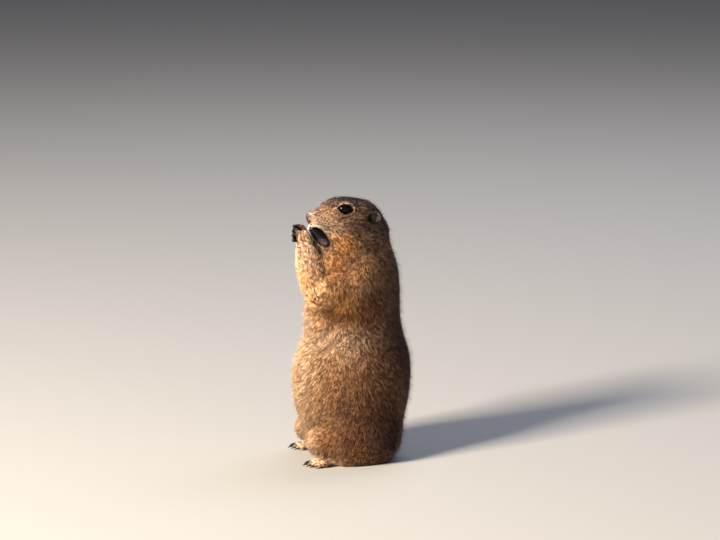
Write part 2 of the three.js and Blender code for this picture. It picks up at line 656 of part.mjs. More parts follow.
node("head", headWhole.subtract(jawRegion(0)).subtract(teethGrown).subtract(tongueGrown), MATERIALS.face);
node("lower_jaw", headWhole.intersect(jawRegion(GAP)).subtract(teethGrown).subtract(tongueGrown), MATERIALS.pale);
node("upper_incisors", incisors(...UPPER_TEETH), MATERIALS.tooth);
node("lower_incisors", incisors(...LOWER_TEETH), MATERIALS.tooth);
node("tongue", makeTongue().subtract(teethGrown), MATERIALS.tongue);
for (const [label, limbSide] of Object.entries(SIDES)) {
  const { side } = limbSide;
  const footGrown = makeFoot(limbSide, GAP);
  const forearm = solid(tube(forearmStations(limbSide), { sides: 12, steps: 5, up: [0, -1, 0.3] }));
  body = body.subtract(footGrown);
  node(`eye_${label}`, makeEye(side), MATERIALS.eye);
  node(`ear_${label}`, makeEar(side).subtract(headGrown), MATERIALS.face);
  node(`foot_${label}`, makeFoot(limbSide), MATERIALS.pale);
  for (const name of Object.keys(REGIONS)) {
    node(`${name}_${label}`, body.intersect(region(name, side)), MATERIALS.coat);
    body = body.subtract(region(name, side, GAP));
  }
  node(`forearm_${label}`, forearm.subtract(bodyGrown).subtract(handsGrown).subtract(headGrown), MATERIALS.pale);
  node(`hand_${label}`, makeHand(label), MATERIALS.pale);
  for (let i = 0; i < TOES.count; i += 1) {
    node(`claw_foot_${label}_${i + 1}`, makeFootClaw(limbSide, i).subtract(footGrown), MATERIALS.claw);
  }
  for (let i = 0; i < HAND.fingers; i += 1) {
    node(`claw_hand_${label}_${i + 1}`, makeHandClaw(label, i).subtract(handsGrown), MATERIALS.claw);
  }
}
node("tail", makeTail().subtract(bodyGrown), MATERIALS.coat);
node("torso", body.subtract(beyond(NECK_CUT, -GAP / 2)), MATERIALS.coat);
node("neck", body.intersect(beyond(NECK_CUT, GAP / 2)), MATERIALS.coat);

// The origin goes under the middle of the whole box
const bounds = new THREE.Box3().setFromObject(prairieDog);
const middle = bounds.getCenter(new THREE.Vector3());
for (const mesh of prairieDog.children) mesh.geometry.translate(-middle.x, -middle.y, -bounds.min.z);

export default prairieDog;
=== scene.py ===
# %% [markdown]
# # A prairie dog and its coat
#
# This lesson dresses a life-size solid model of a black-tailed prairie dog. The solid is the animal out to
# the tips of its fur. From it we make a bare skin that lies a little further in, and then grow the fur back
# out as many small tufts, each a thin closed blade that starts in the skin and ends in a point.
#
# All sizes are in metres. The animal looks along -Y, its left side is +X, and it sits on the floor at z = 0.

# %% Load the solids
import math

import bpy
import numpy as np
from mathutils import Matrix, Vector


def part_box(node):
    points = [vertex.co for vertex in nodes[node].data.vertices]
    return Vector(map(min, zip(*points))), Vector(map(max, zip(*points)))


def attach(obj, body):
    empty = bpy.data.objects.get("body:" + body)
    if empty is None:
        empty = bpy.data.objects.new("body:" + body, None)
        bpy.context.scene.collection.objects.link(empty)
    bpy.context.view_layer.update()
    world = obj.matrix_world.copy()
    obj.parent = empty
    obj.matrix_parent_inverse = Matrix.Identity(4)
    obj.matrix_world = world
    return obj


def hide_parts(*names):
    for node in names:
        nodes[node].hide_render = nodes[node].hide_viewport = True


MM = 0.001
SEED = 11
TINY = 1e-9  # keeps a division from meeting zero
TRIANGLES_PER_PIECE = 195000

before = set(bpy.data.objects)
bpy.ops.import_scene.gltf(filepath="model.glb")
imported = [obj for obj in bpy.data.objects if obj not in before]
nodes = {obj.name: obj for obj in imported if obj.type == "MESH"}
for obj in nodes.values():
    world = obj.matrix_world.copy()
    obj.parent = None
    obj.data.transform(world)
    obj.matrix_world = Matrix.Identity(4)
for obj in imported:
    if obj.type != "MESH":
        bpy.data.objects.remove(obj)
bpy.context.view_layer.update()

# %% [markdown]
# ## Landmarks
#
# The solids tell us where things are. The eyes give the head's middle line, and everything else on the head
# is measured from a point close to the middle between them. The body is measured from the floor below.

# %% Measure the eyes
EYE_SHIFT = np.array([0, -1.4, 1.7]) * MM
TRUNK_BEHIND_EYES = 9.2 * MM


def middle_of(name):
    low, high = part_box(name)
    return (np.array(low) + np.array(high)) / 2


def half_size_of(name):
    low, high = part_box(name)
    return (np.array(high) - np.array(low)) / 2


eye_left, eye_right = middle_of("eye_left"), middle_of("eye_right")
MIDLINE = (eye_left[0] + eye_right[0]) / 2
EYES = (eye_left + eye_right) / 2 + EYE_SHIFT
TRUNK = np.array([MIDLINE, EYES[1] + TRUNK_BEHIND_EYES, 0])


def head_point(x, y, z):
    """A place on the head, in millimetres from the point between the eyes."""
    return EYES + np.array([x, y, z]) * MM


def body_point(x, y, z):
    """A place on the body, in millimetres from the floor under the middle of the trunk."""
    return TRUNK + np.array([x, y, z]) * MM


print("midline x, mm:", round(MIDLINE / MM, 2), "eyes:", (EYES / MM).round(2))

# %% [markdown]
# ## A table of the coat
#
# On the real animal the coat is under a millimetre deep on the nose, hands and feet, a few millimetres on the
# trunk, and longest on the tail. Such values could be painted on the model by hand. Here they stand in a
# table, because a table can be read and corrected, and one function then answers for any point.
#
# Each row is a stretch of the animal, given as a line with a radius round it. It says how deep the fur is
# there, how long and how wide its tufts are, how far apart they stand, and which way they lie. Between two
# stretches the values melt into each other. A lie of "from nose" means that the hair points away from the
# tip of the nose. The second table is given for the left side and used on both.

# %% The table
NOSE_TIP = head_point(0, -33, -11)
COAT = [
    # name, start, end, radius mm, depth mm, length mm, width mm, spacing mm, lie
    ("nose", head_point(0, -33, -10), head_point(0, -30, -13), 4, 0.25, 0.8, 0.26, 0.38, "from nose"),
    ("muzzle", head_point(0, -27, -12), head_point(0, -14, -13), 9, 0.5, 1.6, 0.3, 0.38, "from nose"),
    ("brow", head_point(0, -12, -6), head_point(0, 4, -6), 13, 1.3, 2.6, 0.38, 0.42, "from nose"),
    ("crown", head_point(0, 8, -10), head_point(0, 22, -16), 20, 2.3, 3.7, 0.44, 0.49, "from nose"),
    ("chin", head_point(0, -22, -38), head_point(0, -4, -36), 9, 1.0, 2.4, 0.4, 0.46, "from nose"),
    ("nape", head_point(0, 30, -32), body_point(0, 34, 176), 16, 3.6, 3.9, 0.48, 0.53, (0, 0.25, -1)),
    ("throat", head_point(0, 0, -46), body_point(0, -24, 168), 12, 3.4, 3.6, 0.47, 0.52, (0, -0.1, -1)),
    ("back", body_point(0, 30, 160), body_point(0, 26, 20), 26, 4.2, 4.2, 0.52, 0.56, (0, 0.05, -1)),
    ("belly", body_point(0, -22, 150), body_point(0, -24, 30), 26, 3.8, 3.6, 0.47, 0.53, (0, -0.05, -1)),
    ("tail base", body_point(0, 34, 12), body_point(-20, 45, 8), 9, 3.0, 7.0, 0.6, 0.8, (-0.9, 0.3, 0)),
    ("tail", body_point(-20, 45, 8), body_point(-43, 44, 7), 9, 3.2, 9.0, 0.7, 0.9, (-1, 0, 0)),
    ("tail end", body_point(-43, 44, 7), body_point(-78, 16, 5), 8, 3.0, 10.0, 0.7, 0.9, (-0.8, -0.6, 0)),
]
PAIRED_COAT = [
    # name, measured from, start, end, then as above
    ("eyelid", head_point, (12.5, -7, -1), (12.5, 8, -2), 7, 0.35, 1.1, 0.28, 0.38, "from nose"),
    ("cheek", head_point, (12, 2, -24), (12, 16, -28), 14, 2.3, 3.7, 0.43, 0.48, "from nose"),
    ("pad", head_point, (9, -24, -11), (11, -14, -15), 5, 0.35, 0.9, 0.26, 0.35, "from nose"),
    ("lip", head_point, (7, -22, -19), (9, -8, -30), 6, 0.4, 1.4, 0.3, 0.39, "from nose"),
    ("side", body_point, (24, 4, 150), (26, 2, 60), 26, 4.0, 3.8, 0.48, 0.54, (0, 0, -1)),
    ("thigh", body_point, (26, 10, 40), (32, -30, 24), 20, 3.2, 3.6, 0.48, 0.54, (0.05, -0.45, -0.9)),
    ("shoulder", body_point, (22, 2, 172), (29, -24, 158), 15, 3.2, 3.6, 0.47, 0.53, (0.1, -0.3, -1)),
    ("hand", body_point, (8, -44, 200), (5, -52, 212), 6, 0.3, 1.1, 0.28, 0.4, (-0.2, -0.5, 0.85)),
    ("foot", body_point, (35, 12, 7), (35, -46, 4), 7, 0.4, 1.4, 0.34, 0.44, (0, -1, -0.1)),
    ("ear", head_point, (19, 21, -9), (21, 29, -9), 6.5, 0.4, 1.3, 0.3, 0.4, (0.3, 0.7, 0.3)),
]


def on_side(side, place):
    """A place or direction given for the left side, taken to the side that is asked for."""
    return (place[0] * side, place[1], place[2])


for side in (1, -1):
    for name, measured, start, end, *sizes, lie in PAIRED_COAT:
        way = lie if lie == "from nose" else on_side(side, lie)
        COAT.append((name, measured(*on_side(side, start)), measured(*on_side(side, end)), *sizes, way))
print("rows so far:", len(COAT))

# %% [markdown]
# The arms aren't raised alike, so their rows are worked out from each elbow and hand. The hair of a forearm
# lies towards the wrist.

# %% The arms' rows
ELBOWS = {"left": body_point(30, -36, 157), "right": body_point(-30, -27, 157)}
WRIST_FROM_HAND = np.array([0, 6, -10]) * MM

for label, elbow in ELBOWS.items():
    wrist = middle_of(f"hand_{label}") + WRIST_FROM_HAND
    up_the_arm = (wrist - elbow) / np.linalg.norm(wrist - elbow)
    COAT.append(("forearm", elbow, (elbow + wrist) / 2, 12, 2.0, 3.8, 0.42, 0.48, tuple(up_the_arm)))
    COAT.append(("wrist", (elbow + wrist) / 2, wrist, 8, 0.9, 2.2, 0.34, 0.42, tuple(up_the_arm)))
print("coat table:", len(COAT), "stretches")

# %% [markdown]
# To read the table at a point, every stretch gets a weight that falls off with the distance from it. The
# point's values are the weighted mean of all rows.

# %% Read the table
MELT = 2.2 * MM
NO_WEIGHT = 1e-12  # keeps the mean from dividing by zero


def distance_to_line(points, start, end):
    along = end - start
    t = np.clip(((points - start) @ along) / (along @ along), 0, 1)
    return np.linalg.norm(points - start - t[:, None] * along, axis=1)


def unit_rows(vectors):
    """Each row brought to length one."""
    return vectors / (np.linalg.norm(vectors, axis=1)[:, None] + TINY)


def coat_at(points):
    """Depth, length, width and spacing (metres) and the lie of the coat at each point."""
    total = np.full(len(points), NO_WEIGHT)
    sizes = np.zeros((len(points), 4))
    lie = np.zeros((len(points), 3))
    away = unit_rows(points - NOSE_TIP)
    for _, start, end, radius, depth, length, width, spacing, way in COAT:
        gap = np.maximum(distance_to_line(points, start, end) - radius * MM, 0)
        weight = np.exp(-gap / MELT)
        total += weight
        sizes += weight[:, None] * np.array([depth, length, width, spacing]) * MM
        lie += weight[:, None] * (away if way == "from nose" else np.array(way))
    return sizes / total[:, None], lie / total[:, None]


cheek_sizes, _ = coat_at(head_point(20, 6, -24)[None])
print("coat on the cheek, mm (depth, length, width, spacing):", (cheek_sizes[0] / MM).round(2))

# %% [markdown]
# ## Working on meshes
#
# Blender's operators act on what is selected, so each step first selects just what it works on. Places of
# thousands of points are read and written as one array, which is far quicker than a loop over them.

# %% Helpers for meshes
WEIGHT_STEPS = 40


def only(obj):
    """Selects one object and makes it the active one."""
    bpy.ops.object.select_all(action="DESELECT")
    obj.select_set(True)
    bpy.context.view_layer.objects.active = obj


def apply_all(obj):
    only(obj)
    for modifier in list(obj.modifiers):
        bpy.ops.object.modifier_apply(modifier=modifier.name)


def twin_of(name):
    twin = nodes[name].copy()
    twin.data = nodes[name].data.copy()
    twin.parent = None
    twin.matrix_world = nodes[name].matrix_world
    bpy.context.collection.objects.link(twin)
    twin.hide_render = False
    return twin


def joined_twins(names):
    """Copies of the solids of some nodes, joined in one object."""
    twins = [twin_of(name) for name in names]
    bpy.ops.object.select_all(action="DESELECT")
    for twin in twins:
        twin.select_set(True)
    bpy.context.view_layer.objects.active = twins[0]
    if len(twins) > 1:
        bpy.ops.object.join()
    return bpy.context.object


def merge_doubles(obj, distance):
    """Welds the loose triangles of a solid together."""
    only(obj)
    bpy.ops.object.mode_set(mode="EDIT")
    bpy.ops.mesh.select_all(action="SELECT")
    bpy.ops.mesh.remove_doubles(threshold=distance)
    bpy.ops.object.mode_set(mode="OBJECT")


def read_vectors(obj, field):
    flat = np.empty(len(obj.data.vertices) * 3)
    obj.data.vertices.foreach_get(field, flat)
    return flat.reshape(-1, 3)


def read_points(obj):
    return read_vectors(obj, "co")


def write_points(obj, points):
    obj.data.vertices.foreach_set("co", points.astype(np.float32).ravel())
    obj.data.update()


def weigh(obj, name, weights):
    """A vertex group from an array of weights, rounded to a few dozen steps to save calls."""
    group = obj.vertex_groups.new(name=name)
    steps = np.round(np.clip(weights, 0, 1) * WEIGHT_STEPS).astype(int)
    for step in range(1, WEIGHT_STEPS + 1):
        chosen = np.nonzero(steps == step)[0]
        if len(chosen):
            group.add(chosen.tolist(), step / WEIGHT_STEPS, "REPLACE")


print("solids to work from:", len(nodes))

# %% [markdown]
# ## Folds and nostrils
#
# A sitting animal has soft creases on its flanks, at the elbow and where the thigh meets the trunk, and its
# nostrils are small pits. Both could be sculpted. Here the skin is pressed in along short lines and at two
# points, because the depth of a crease is then one number.

# %% Depth of the folds
FOLDS = [
    # start and end (behind the middle of the trunk, above the floor), half width, depth, all in mm
    ((-34, 104), (-10, 126), 3.4, 1.5),
    ((-24, 101), (1, 121), 3.2, 1.3),
    ((-38, 113), (-22, 132), 3.0, 1.3),
    ((-38, 138), (-13, 136), 4.0, 1.8),
    ((-18, 62), (-14, 59), 2.6, 1.8),
    ((-54, 22), (-41, 36), 3.6, 1.8),
    ((-38, 50), (-20, 56), 4.0, 0.9),
]
FOLDS_OFF_MIDDLE = 12 * MM
NOSTRILS = [head_point(4.4 * side, -29.4, -14.6) for side in (1, -1)]
NOSTRIL_HALF = np.array([2.0, 3.2, 2.1]) * MM
NOSTRIL_DEPTH = 1.6 * MM
NOSTRIL_REACH = 1.25
NOSTRIL_SHARPNESS = 5


def nostril_distance(points, nostril):
    """The distance from the middle of a nostril, which is 1 at its edge."""
    return np.linalg.norm((points - nostril) / NOSTRIL_HALF, axis=1)


def folded(points):
    """How deep the skin is pressed in: creases of the flanks, and the nostrils."""
    side_view = points[:, 1:] - TRUNK[1:]
    off_middle = np.abs(points[:, 0] - MIDLINE)
    deep = np.zeros(len(points))
    for start, end, half, depth in FOLDS:
        line = np.array([start, end]) * MM
        gap = distance_to_line(side_view, line[0], line[1])
        deep += depth * MM * np.exp(-((gap / (half * MM)) ** 2)) * (off_middle > FOLDS_OFF_MIDDLE)
    for nostril in NOSTRILS:
        deep += NOSTRIL_DEPTH * np.clip(NOSTRIL_REACH - nostril_distance(points, nostril), 0, 1)
    return deep


print("folds:", len(FOLDS), "nostrils:", len(NOSTRILS))

# %% [markdown]
# ## The skin
#
# Under its fur the animal has one skin, but the solid comes as separate pieces with thin cuts between them.
# A new body could be sculpted. We copy the fleshy solids instead, because that keeps the pose. The copies
# swell a hair, so that the cuts close, and a voxel remesh wraps them in one surface.

# %% Wrap the flesh in one skin
FLESH = ["head", "lower_jaw", "neck", "torso", "tail"]
for label in ("left", "right"):
    FLESH += [f"{part}_{label}" for part in ("ear", "upper_arm", "forearm", "hand", "thigh", "foot")]
SWELL = 0.32 * MM
VOXEL = 0.75 * MM

skin = joined_twins(FLESH)
skin.name = "skin"
skin.data.materials.clear()
bpy.ops.object.transform_apply(location=True, rotation=True, scale=True)
merge_doubles(skin, distance=0.01 * MM)

swell = skin.modifiers.new("swell", "DISPLACE")
swell.strength = SWELL
swell.mid_level = 0
wrap = skin.modifiers.new("wrap", "REMESH")
wrap.mode = "VOXEL"
wrap.voxel_size = VOXEL
apply_all(skin)
print("wrapped skin:", len(skin.data.polygons), "faces")

# %% [markdown]
# Smoothing takes the facets off. Fingers, toes and the face keep their small shapes, so they are smoothed
# less than the body. Then the surface sinks by the depth of the coat, which leaves a bare animal under its
# fur, and a second, light smoothing settles the folds.

# %% Smooth the skin and let it sink
LEAST_SOFT = 0.12
THIN_COAT = 0.4 * MM
THIN_TO_THICK = 2 * MM
SMOOTHINGS = (("soft", 0.6, 14), ("", 0.4, 2))
SKIN_TRIANGLES = 0.95 * TRIANGLES_PER_PIECE


def depth_of_coat(points):
    sizes, _ = coat_at(points)
    return sizes[:, 0]


thickness = np.clip((depth_of_coat(read_points(skin)) - THIN_COAT) / THIN_TO_THICK, 0, 1)
weigh(skin, "soft", LEAST_SOFT + (1 - LEAST_SOFT) * thickness)
for group, factor, turns in SMOOTHINGS:
    smooth = skin.modifiers.new("smooth", "SMOOTH")
    smooth.factor = factor
    smooth.iterations = turns
    smooth.vertex_group = group
apply_all(skin)

points = read_points(skin)
sink = depth_of_coat(points) + SWELL + folded(points)
write_points(skin, points - read_vectors(skin, "normal") * sink[:, None])
settle = skin.modifiers.new("settle", "SMOOTH")
settle.factor = 0.5
settle.iterations = 4
settle.vertex_group = "soft"
fewer = skin.modifiers.new("fewer", "DECIMATE")
fewer.use_collapse_triangulate = True
fewer.ratio = min(1, SKIN_TRIANGLES / (2 * len(skin.data.polygons)))
apply_all(skin)
skin.vertex_groups.clear()
bpy.ops.object.shade_smooth()
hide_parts(*FLESH)
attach(skin, "root")
print("bare skin:", len(skin.data.polygons), "triangles")

# %% [markdown]
# The skin is unwrapped, so that each tuft can later be given the small patch of the map where it grows. A
# smart projection is enough, because nothing is painted on this map by hand.

# %% Unwrap the skin
only(skin)
bpy.ops.object.mode_set(mode="EDIT")
bpy.ops.mesh.select_all(action="SELECT")
bpy.ops.uv.smart_project(angle_limit=math.radians(66), island_margin=0.002)
bpy.ops.object.mode_set(mode="OBJECT")
skin.data.uv_layers[0].name = "OFBake"
print("corners on the skin's map:", len(skin.data.uv_layers[0].data))

# %% [markdown]
# ## Markings
#
# A prairie dog is buff, with soft markings that run into each other. They could be painted as a picture.
# Here each is an ellipsoid that fades out at its edge, so that a marking can be moved by changing a number.
# The same patches colour the skin and every tuft, so a tuft always has the colour of its place.
#
# * pale: cream of the belly, chest, muzzle, chin, forearms, knees and feet
# * dark: grey brown of the crown, nape and shoulders; on the back, behind the shoulder and on the rump it is
#   partly the coat's own darker brown and partly painted shade of the side turned from the light
# * rufous: the red brown of the shoulders, flanks and thighs, partly painted shade behind the shoulder, with
#   painted shadows under the elbow and on the throat under the cheek
# * warm: the orange of the cheeks, throat, elbows, knees and rump
# * white: hairs over the nose, on the upper lip, above the eye and at the rim of the ear
# * bare: near black, for the nose pad, the eyelids, the dots of the whisker pad and the tail's dark tip, and
#   as painted shade in the mouth, the nostrils and the ears' cups and on the right hand

# %% Patches of colour
MARKS = [
    # kind, middle, half sizes mm, edge, strength, on both sides
    ("pale", body_point(0, -52, 84), (36, 34, 84), 0.5, 0.3, False),
    ("pale", body_point(0, -42, 160), (28, 22, 44), 0.5, 0.25, False),
    ("pale", body_point(38, -22, 117), (20, 30, 15), 0.7, 0.7, True),
    ("pale", head_point(0, -26, -19), (14, 12, 7), 0.5, 0.85, False),
    ("pale", head_point(12, -14, -17), (9, 15, 9), 0.6, 0.95, True),
    ("pale", head_point(0, -16, -42), (14, 16, 12), 0.5, 0.6, False),
    ("pale", body_point(30, -50, 14), (14, 17, 20), 0.6, 0.85, True),
    ("pale", body_point(14, -44, 192), (12, 12, 34), 0.5, 0.62, True),
    ("pale", body_point(35, -30, 4), (12, 34, 8), 0.6, 0.7, True),
    ("pale", body_point(36, -36, 156), (12, 14, 12), 0.7, 0.45, True),
    ("dark", head_point(0, 4, 8), (20, 30, 13), 0.55, 0.85, False),
    ("dark", head_point(0, 36, -16), (30, 22, 34), 0.6, 0.9, False),
    ("dark", head_point(20, 14, -18), (7, 15, 9), 0.7, 0.75, True),
    ("dark", head_point(22, 20, -34), (10, 13, 12), 0.8, 0.7, True),
    ("dark", body_point(28, -2, 188), (12, 10, 7), 0.8, 0.6, True),
    # partly painted shade: back, side behind the shoulder, lower side and rump darkened as the side turned
    # from the light
    ("dark", body_point(0, 60, 110), (66, 60, 130), 0.4, 0.88, False),
    ("dark", body_point(40, 20, 152), (20, 24, 24), 0.8, 0.8, True),
    ("dark", body_point(48, 26, 30), (34, 52, 44), 0.7, 1.0, True),
    # partly painted shade: red brown behind the shoulder, and a thin band as a painted shadow under the elbow
    ("rufous", body_point(44, 5, 143), (18, 19, 20), 0.7, 0.95, True),
    ("rufous", body_point(36, -10, 139), (20, 32, 9), 0.6, 0.85, True),
    ("rufous", body_point(44, 4, 60), (20, 28, 50), 0.8, 0.7, True),
    ("rufous", body_point(46, -8, 24), (20, 22, 30), 0.7, 0.85, True),
    # painted shadow on the throat under the cheek
    ("rufous", body_point(24, -14, 178), (16, 14, 13), 0.8, 0.5, True),
    ("white", head_point(0, -27, -10), (13, 9, 9), 0.7, 0.3, False),
    ("warm", head_point(19, 0, -34), (13, 18, 12), 0.7, 0.85, True),
    ("warm", body_point(24, -14, 184), (22, 22, 22), 0.7, 0.6, True),
    ("warm", body_point(34, -26, 150), (22, 26, 18), 0.5, 0.95, True),
    ("warm", body_point(44, -10, 60), (22, 34, 26), 0.8, 0.5, True),
    ("warm", body_point(36, -28, 24), (20, 20, 22), 0.7, 0.8, True),
    ("warm", body_point(0, 46, 40), (60, 50, 60), 0.8, 0.35, False),
    ("bare", head_point(0, -35, -12), (7.5, 6.4, 7), 0.4, 0.85, False),
    # painted shade: the right hand is near black, as it stands in shade
    ("bare", body_point(-5, -53, 213), (12, 11, 12.5), 0.35, 0.95, False),
]
KINDS = ("pale", "dark", "warm", "rufous", "white", "bare")
FADE_POWER = 1.2


def patch(points, middle, half, edge):
    """An ellipsoid that is 1 in its middle and fades out at its edge."""
    far = np.linalg.norm((points - middle) / (np.array(half) * MM), axis=1)
    return np.clip((1 + edge - far) / (2 * edge), 0, 1)


def lay(masks, kind, mask):
    """Lays a mask over what a kind of marking has so far, and the stronger of the two shows."""
    masks[kind] = np.maximum(masks[kind], mask)


def mark_patches(masks, points):
    for kind, middle, half, edge, strength, paired in MARKS:
        for side in (1, -1) if paired else (1,):
            at = middle.copy()
            at[0] = MIDLINE + (middle[0] - MIDLINE) * side
            lay(masks, kind, strength * patch(points, at, half, edge) ** FADE_POWER)


print("patches of colour:", len(MARKS))

# %% [markdown]
# ## Eyes and mouth
#
# The lids form a dark almond round each eye, with a pale crescent of hair above it. The open mouth is an oval
# whose long axis runs down and back, narrower at that end; its inside is painted near black, as painted
# shade.
# White hairs edge the upper lip in front. Both are formulas in the side view, because their outlines are
# sharper and less plain than an ellipsoid's.

# %% Eyes and mouth
MOUTH_MIDDLE = head_point(0, -20, -28.2)
MOUTH_SLOPE = 0.8  # radians below the way to the back
MOUTH_HALF = (12.6 * MM, 5.6 * MM)
MOUTH_TAPER = 0.26
MOUTH_DARK = 0.9
MOUTH_EDGE = 0.02
LIP_MIDDLE = 0.1
LIP_HALF = 0.2
LIP_OFF_MIDDLE = 4 * MM
WHITE_LIP = 0.85
WHITE_LIP_FADE = 9 * MM
DARK_LIP = 0.2
DARK_LIP_FADE = 6 * MM
UPPER_LIP_DARK = 0.6
LOWER_LIP_DARK = 0.5
LID_HALF = (8.6 * MM, 4.7 * MM)
OPEN_HALF = (7.3 * MM, 4.1 * MM)
LID_TILT = 0.1
LID_TAPER = 0.55
LID_OFF_MIDDLE = 9 * MM
CRESCENT_MIDDLE = 0.15
CRESCENT_HALF = 0.13
CRESCENT_STRENGTH = 0.45
CRESCENT_FROM = 0.2 * MM


def in_almond(points, half):
    """Below zero inside an almond round an eye, seen from the side."""
    y = points[:, 1] - eye_left[1]
    z = points[:, 2] - eye_left[2] + LID_TILT * y
    lean = np.clip(np.abs(y) / half[0], 0, 1)
    return np.hypot(y / half[0], z / (half[1] * (1 - LID_TAPER * lean**2))) - 1


def mouth_place(points):
    """Below zero inside the oval of the mouth, and the places along and above its long axis."""
    y = points[:, 1] - MOUTH_MIDDLE[1]
    z = points[:, 2] - MOUTH_MIDDLE[2]
    along = y * math.cos(MOUTH_SLOPE) - z * math.sin(MOUTH_SLOPE)
    up = y * math.sin(MOUTH_SLOPE) + z * math.cos(MOUTH_SLOPE)
    high = MOUTH_HALF[1] * (1 - MOUTH_TAPER * np.clip(along / MOUTH_HALF[0], -1, 1))
    inside = np.hypot(along / MOUTH_HALF[0], up / high) - 1
    return inside, along, up


def mark_mouth(masks, points, off_middle):
    mouth, along, up = mouth_place(points)
    edge = np.clip(1 - np.abs(mouth - LIP_MIDDLE) / LIP_HALF, 0, 1) * (off_middle > LIP_OFF_MIDDLE)
    upper = edge * (up > 0)
    lay(masks, "white", upper * np.clip(WHITE_LIP - along / WHITE_LIP_FADE, 0, 1))
    lay(masks, "bare", UPPER_LIP_DARK * upper * np.clip(DARK_LIP + along / DARK_LIP_FADE, 0, 1))
    lay(masks, "bare", LOWER_LIP_DARK * edge * (up < 0))
    # painted shade: the inside of the mouth is near black
    lay(masks, "bare", MOUTH_DARK * (mouth < MOUTH_EDGE))


def mark_eyes(masks, points, off_middle):
    lid = in_almond(points, LID_HALF)
    beside = off_middle > LID_OFF_MIDDLE
    lay(masks, "bare", (lid < 0) & beside)
    above_eye = points[:, 2] > eye_left[2] + CRESCENT_FROM
    crescent = np.clip(1 - np.abs(lid - CRESCENT_MIDDLE) / CRESCENT_HALF, 0, 1) * beside
    lay(masks, "white", CRESCENT_STRENGTH * crescent * above_eye)


print("mouth, mm:", [round(2 * half / MM, 1) for half in MOUTH_HALF])

# %% [markdown]
# ## Nose, ears, whisker dots and tail
#
# The whiskers stand in rows of small dark dots along the upper lip. Real dots aren't quite in line, so two
# sine waves push them about a little. The ear is a cup painted near black, as painted shade in its hollow,
# with a pale rim; the nostrils' pits are painted near black as painted shade too; and the tail ends in dark
# hair.

# %% Small features
WHISKER_ROWS = 4
WHISKER_COLUMNS = 5
WHISKER_PITCH = 2.3
WHISKER_STAGGER = 1.1
WHISKER_LEAN = 0.3
UNEVEN_BACK = (0.4, 9.7, 5.3)
UNEVEN_DOWN = (0.25, 4.1, 7.9)
WHISKER_DOT = 0.7 * MM
PAD = head_point(0, -19.8, -12.6)
EAR_CUPS = [head_point(21.8 * side, 25.2, -9.8) for side in (1, -1)]
# offset and half sizes in mm, edge
EAR_HAIRLESS = ((0, -1.0, 0), (7.0, 4.7, 5.0), 0.02)
EAR_DARK = ((0, -0.2, 0), (7.4, 5.6, 5.8), 0.06)
EAR_RIM = ((0, 5.6, -0.8), (5, 2.2, 4.6), 0.3)
EAR_RIM_STRENGTH = 0.75
TAIL_TIP = body_point(-78, 16, 5)
TAIL_DARK = 18 * MM
TAIL_FADE = 8 * MM


def wave(form, row, column):
    """A small push for a dot, from a sine wave over rows and columns."""
    size, by_row, by_column = form
    return size * math.sin(by_row * row + by_column * column)


def whisker_roots():
    """The dark dots of the whisker pad: rows along the upper lip, each dot as (side, y, z)."""
    roots = []
    for side in (1, -1):
        for row in range(WHISKER_ROWS):
            for column in range(WHISKER_COLUMNS):
                back = (column - (WHISKER_COLUMNS - 1) / 2) * WHISKER_PITCH + WHISKER_STAGGER * (row % 2)
                back += wave(UNEVEN_BACK, row, column)
                down = ((WHISKER_ROWS - 1) / 2 - row) * WHISKER_PITCH - WHISKER_LEAN * back
                down += wave(UNEVEN_DOWN, row, column)
                roots.append((side, PAD[1] + back * MM, PAD[2] + down * MM))
    return roots


def ear_patch(points, ear, form):
    """A patch near the cup of an ear, from its offset, half sizes and edge."""
    offset, half, edge = form
    return patch(points, ear + np.array(offset) * MM, half, edge)


def mark_nostrils(masks, points):
    for nostril in NOSTRILS:
        inside = NOSTRIL_REACH - nostril_distance(points, nostril)
        # painted shade: each nostril's pit is near black
        lay(masks, "bare", np.clip(inside * NOSTRIL_SHARPNESS, 0, 1))


def mark_whisker_dots(masks, points):
    side_of_point = np.sign(points[:, 0] - MIDLINE)
    for side, y, z in whisker_roots():
        near = np.hypot(points[:, 1] - y, points[:, 2] - z) < WHISKER_DOT
        lay(masks, "bare", near & (side_of_point == side))


def mark_ears(masks, points):
    for ear in EAR_CUPS:
        cup = ear_patch(points, ear, EAR_DARK)
        rim = ear_patch(points, ear, EAR_RIM) * (1 - cup)
        # painted shade: the ear's hollow cup is near black
        lay(masks, "bare", cup)
        lay(masks, "white", EAR_RIM_STRENGTH * rim)


def mark_tail(masks, points):
    far = np.linalg.norm(points - TAIL_TIP, axis=1)
    lay(masks, "bare", np.clip((TAIL_DARK - far) / TAIL_FADE, 0, 1))


def markings(points):
    """How strong each kind of marking is at each point, from 0 to 1."""
    masks = {kind: np.zeros(len(points)) for kind in KINDS}
    off_middle = np.abs(points[:, 0] - MIDLINE)
    mark_patches(masks, points)
    mark_mouth(masks, points, off_middle)
    mark_eyes(masks, points, off_middle)
    mark_nostrils(masks, points)
    mark_whisker_dots(masks, points)
    mark_ears(masks, points)
    mark_tail(masks, points)
    return masks


print("whisker dots:", len(whisker_roots()))

# %% [markdown]
# ## Grain
#
# Each hair of this animal is banded, and hairs of one band often lie side by side, so the coat looks grainy.
# A random number for every tuft would give a dust too fine to see. Instead the space round the animal is cut
# into small cells, and most tufts of a cell share one number. The whisker pad is calmer than the rest, and
# so is the deep coat of the trunk, a little.

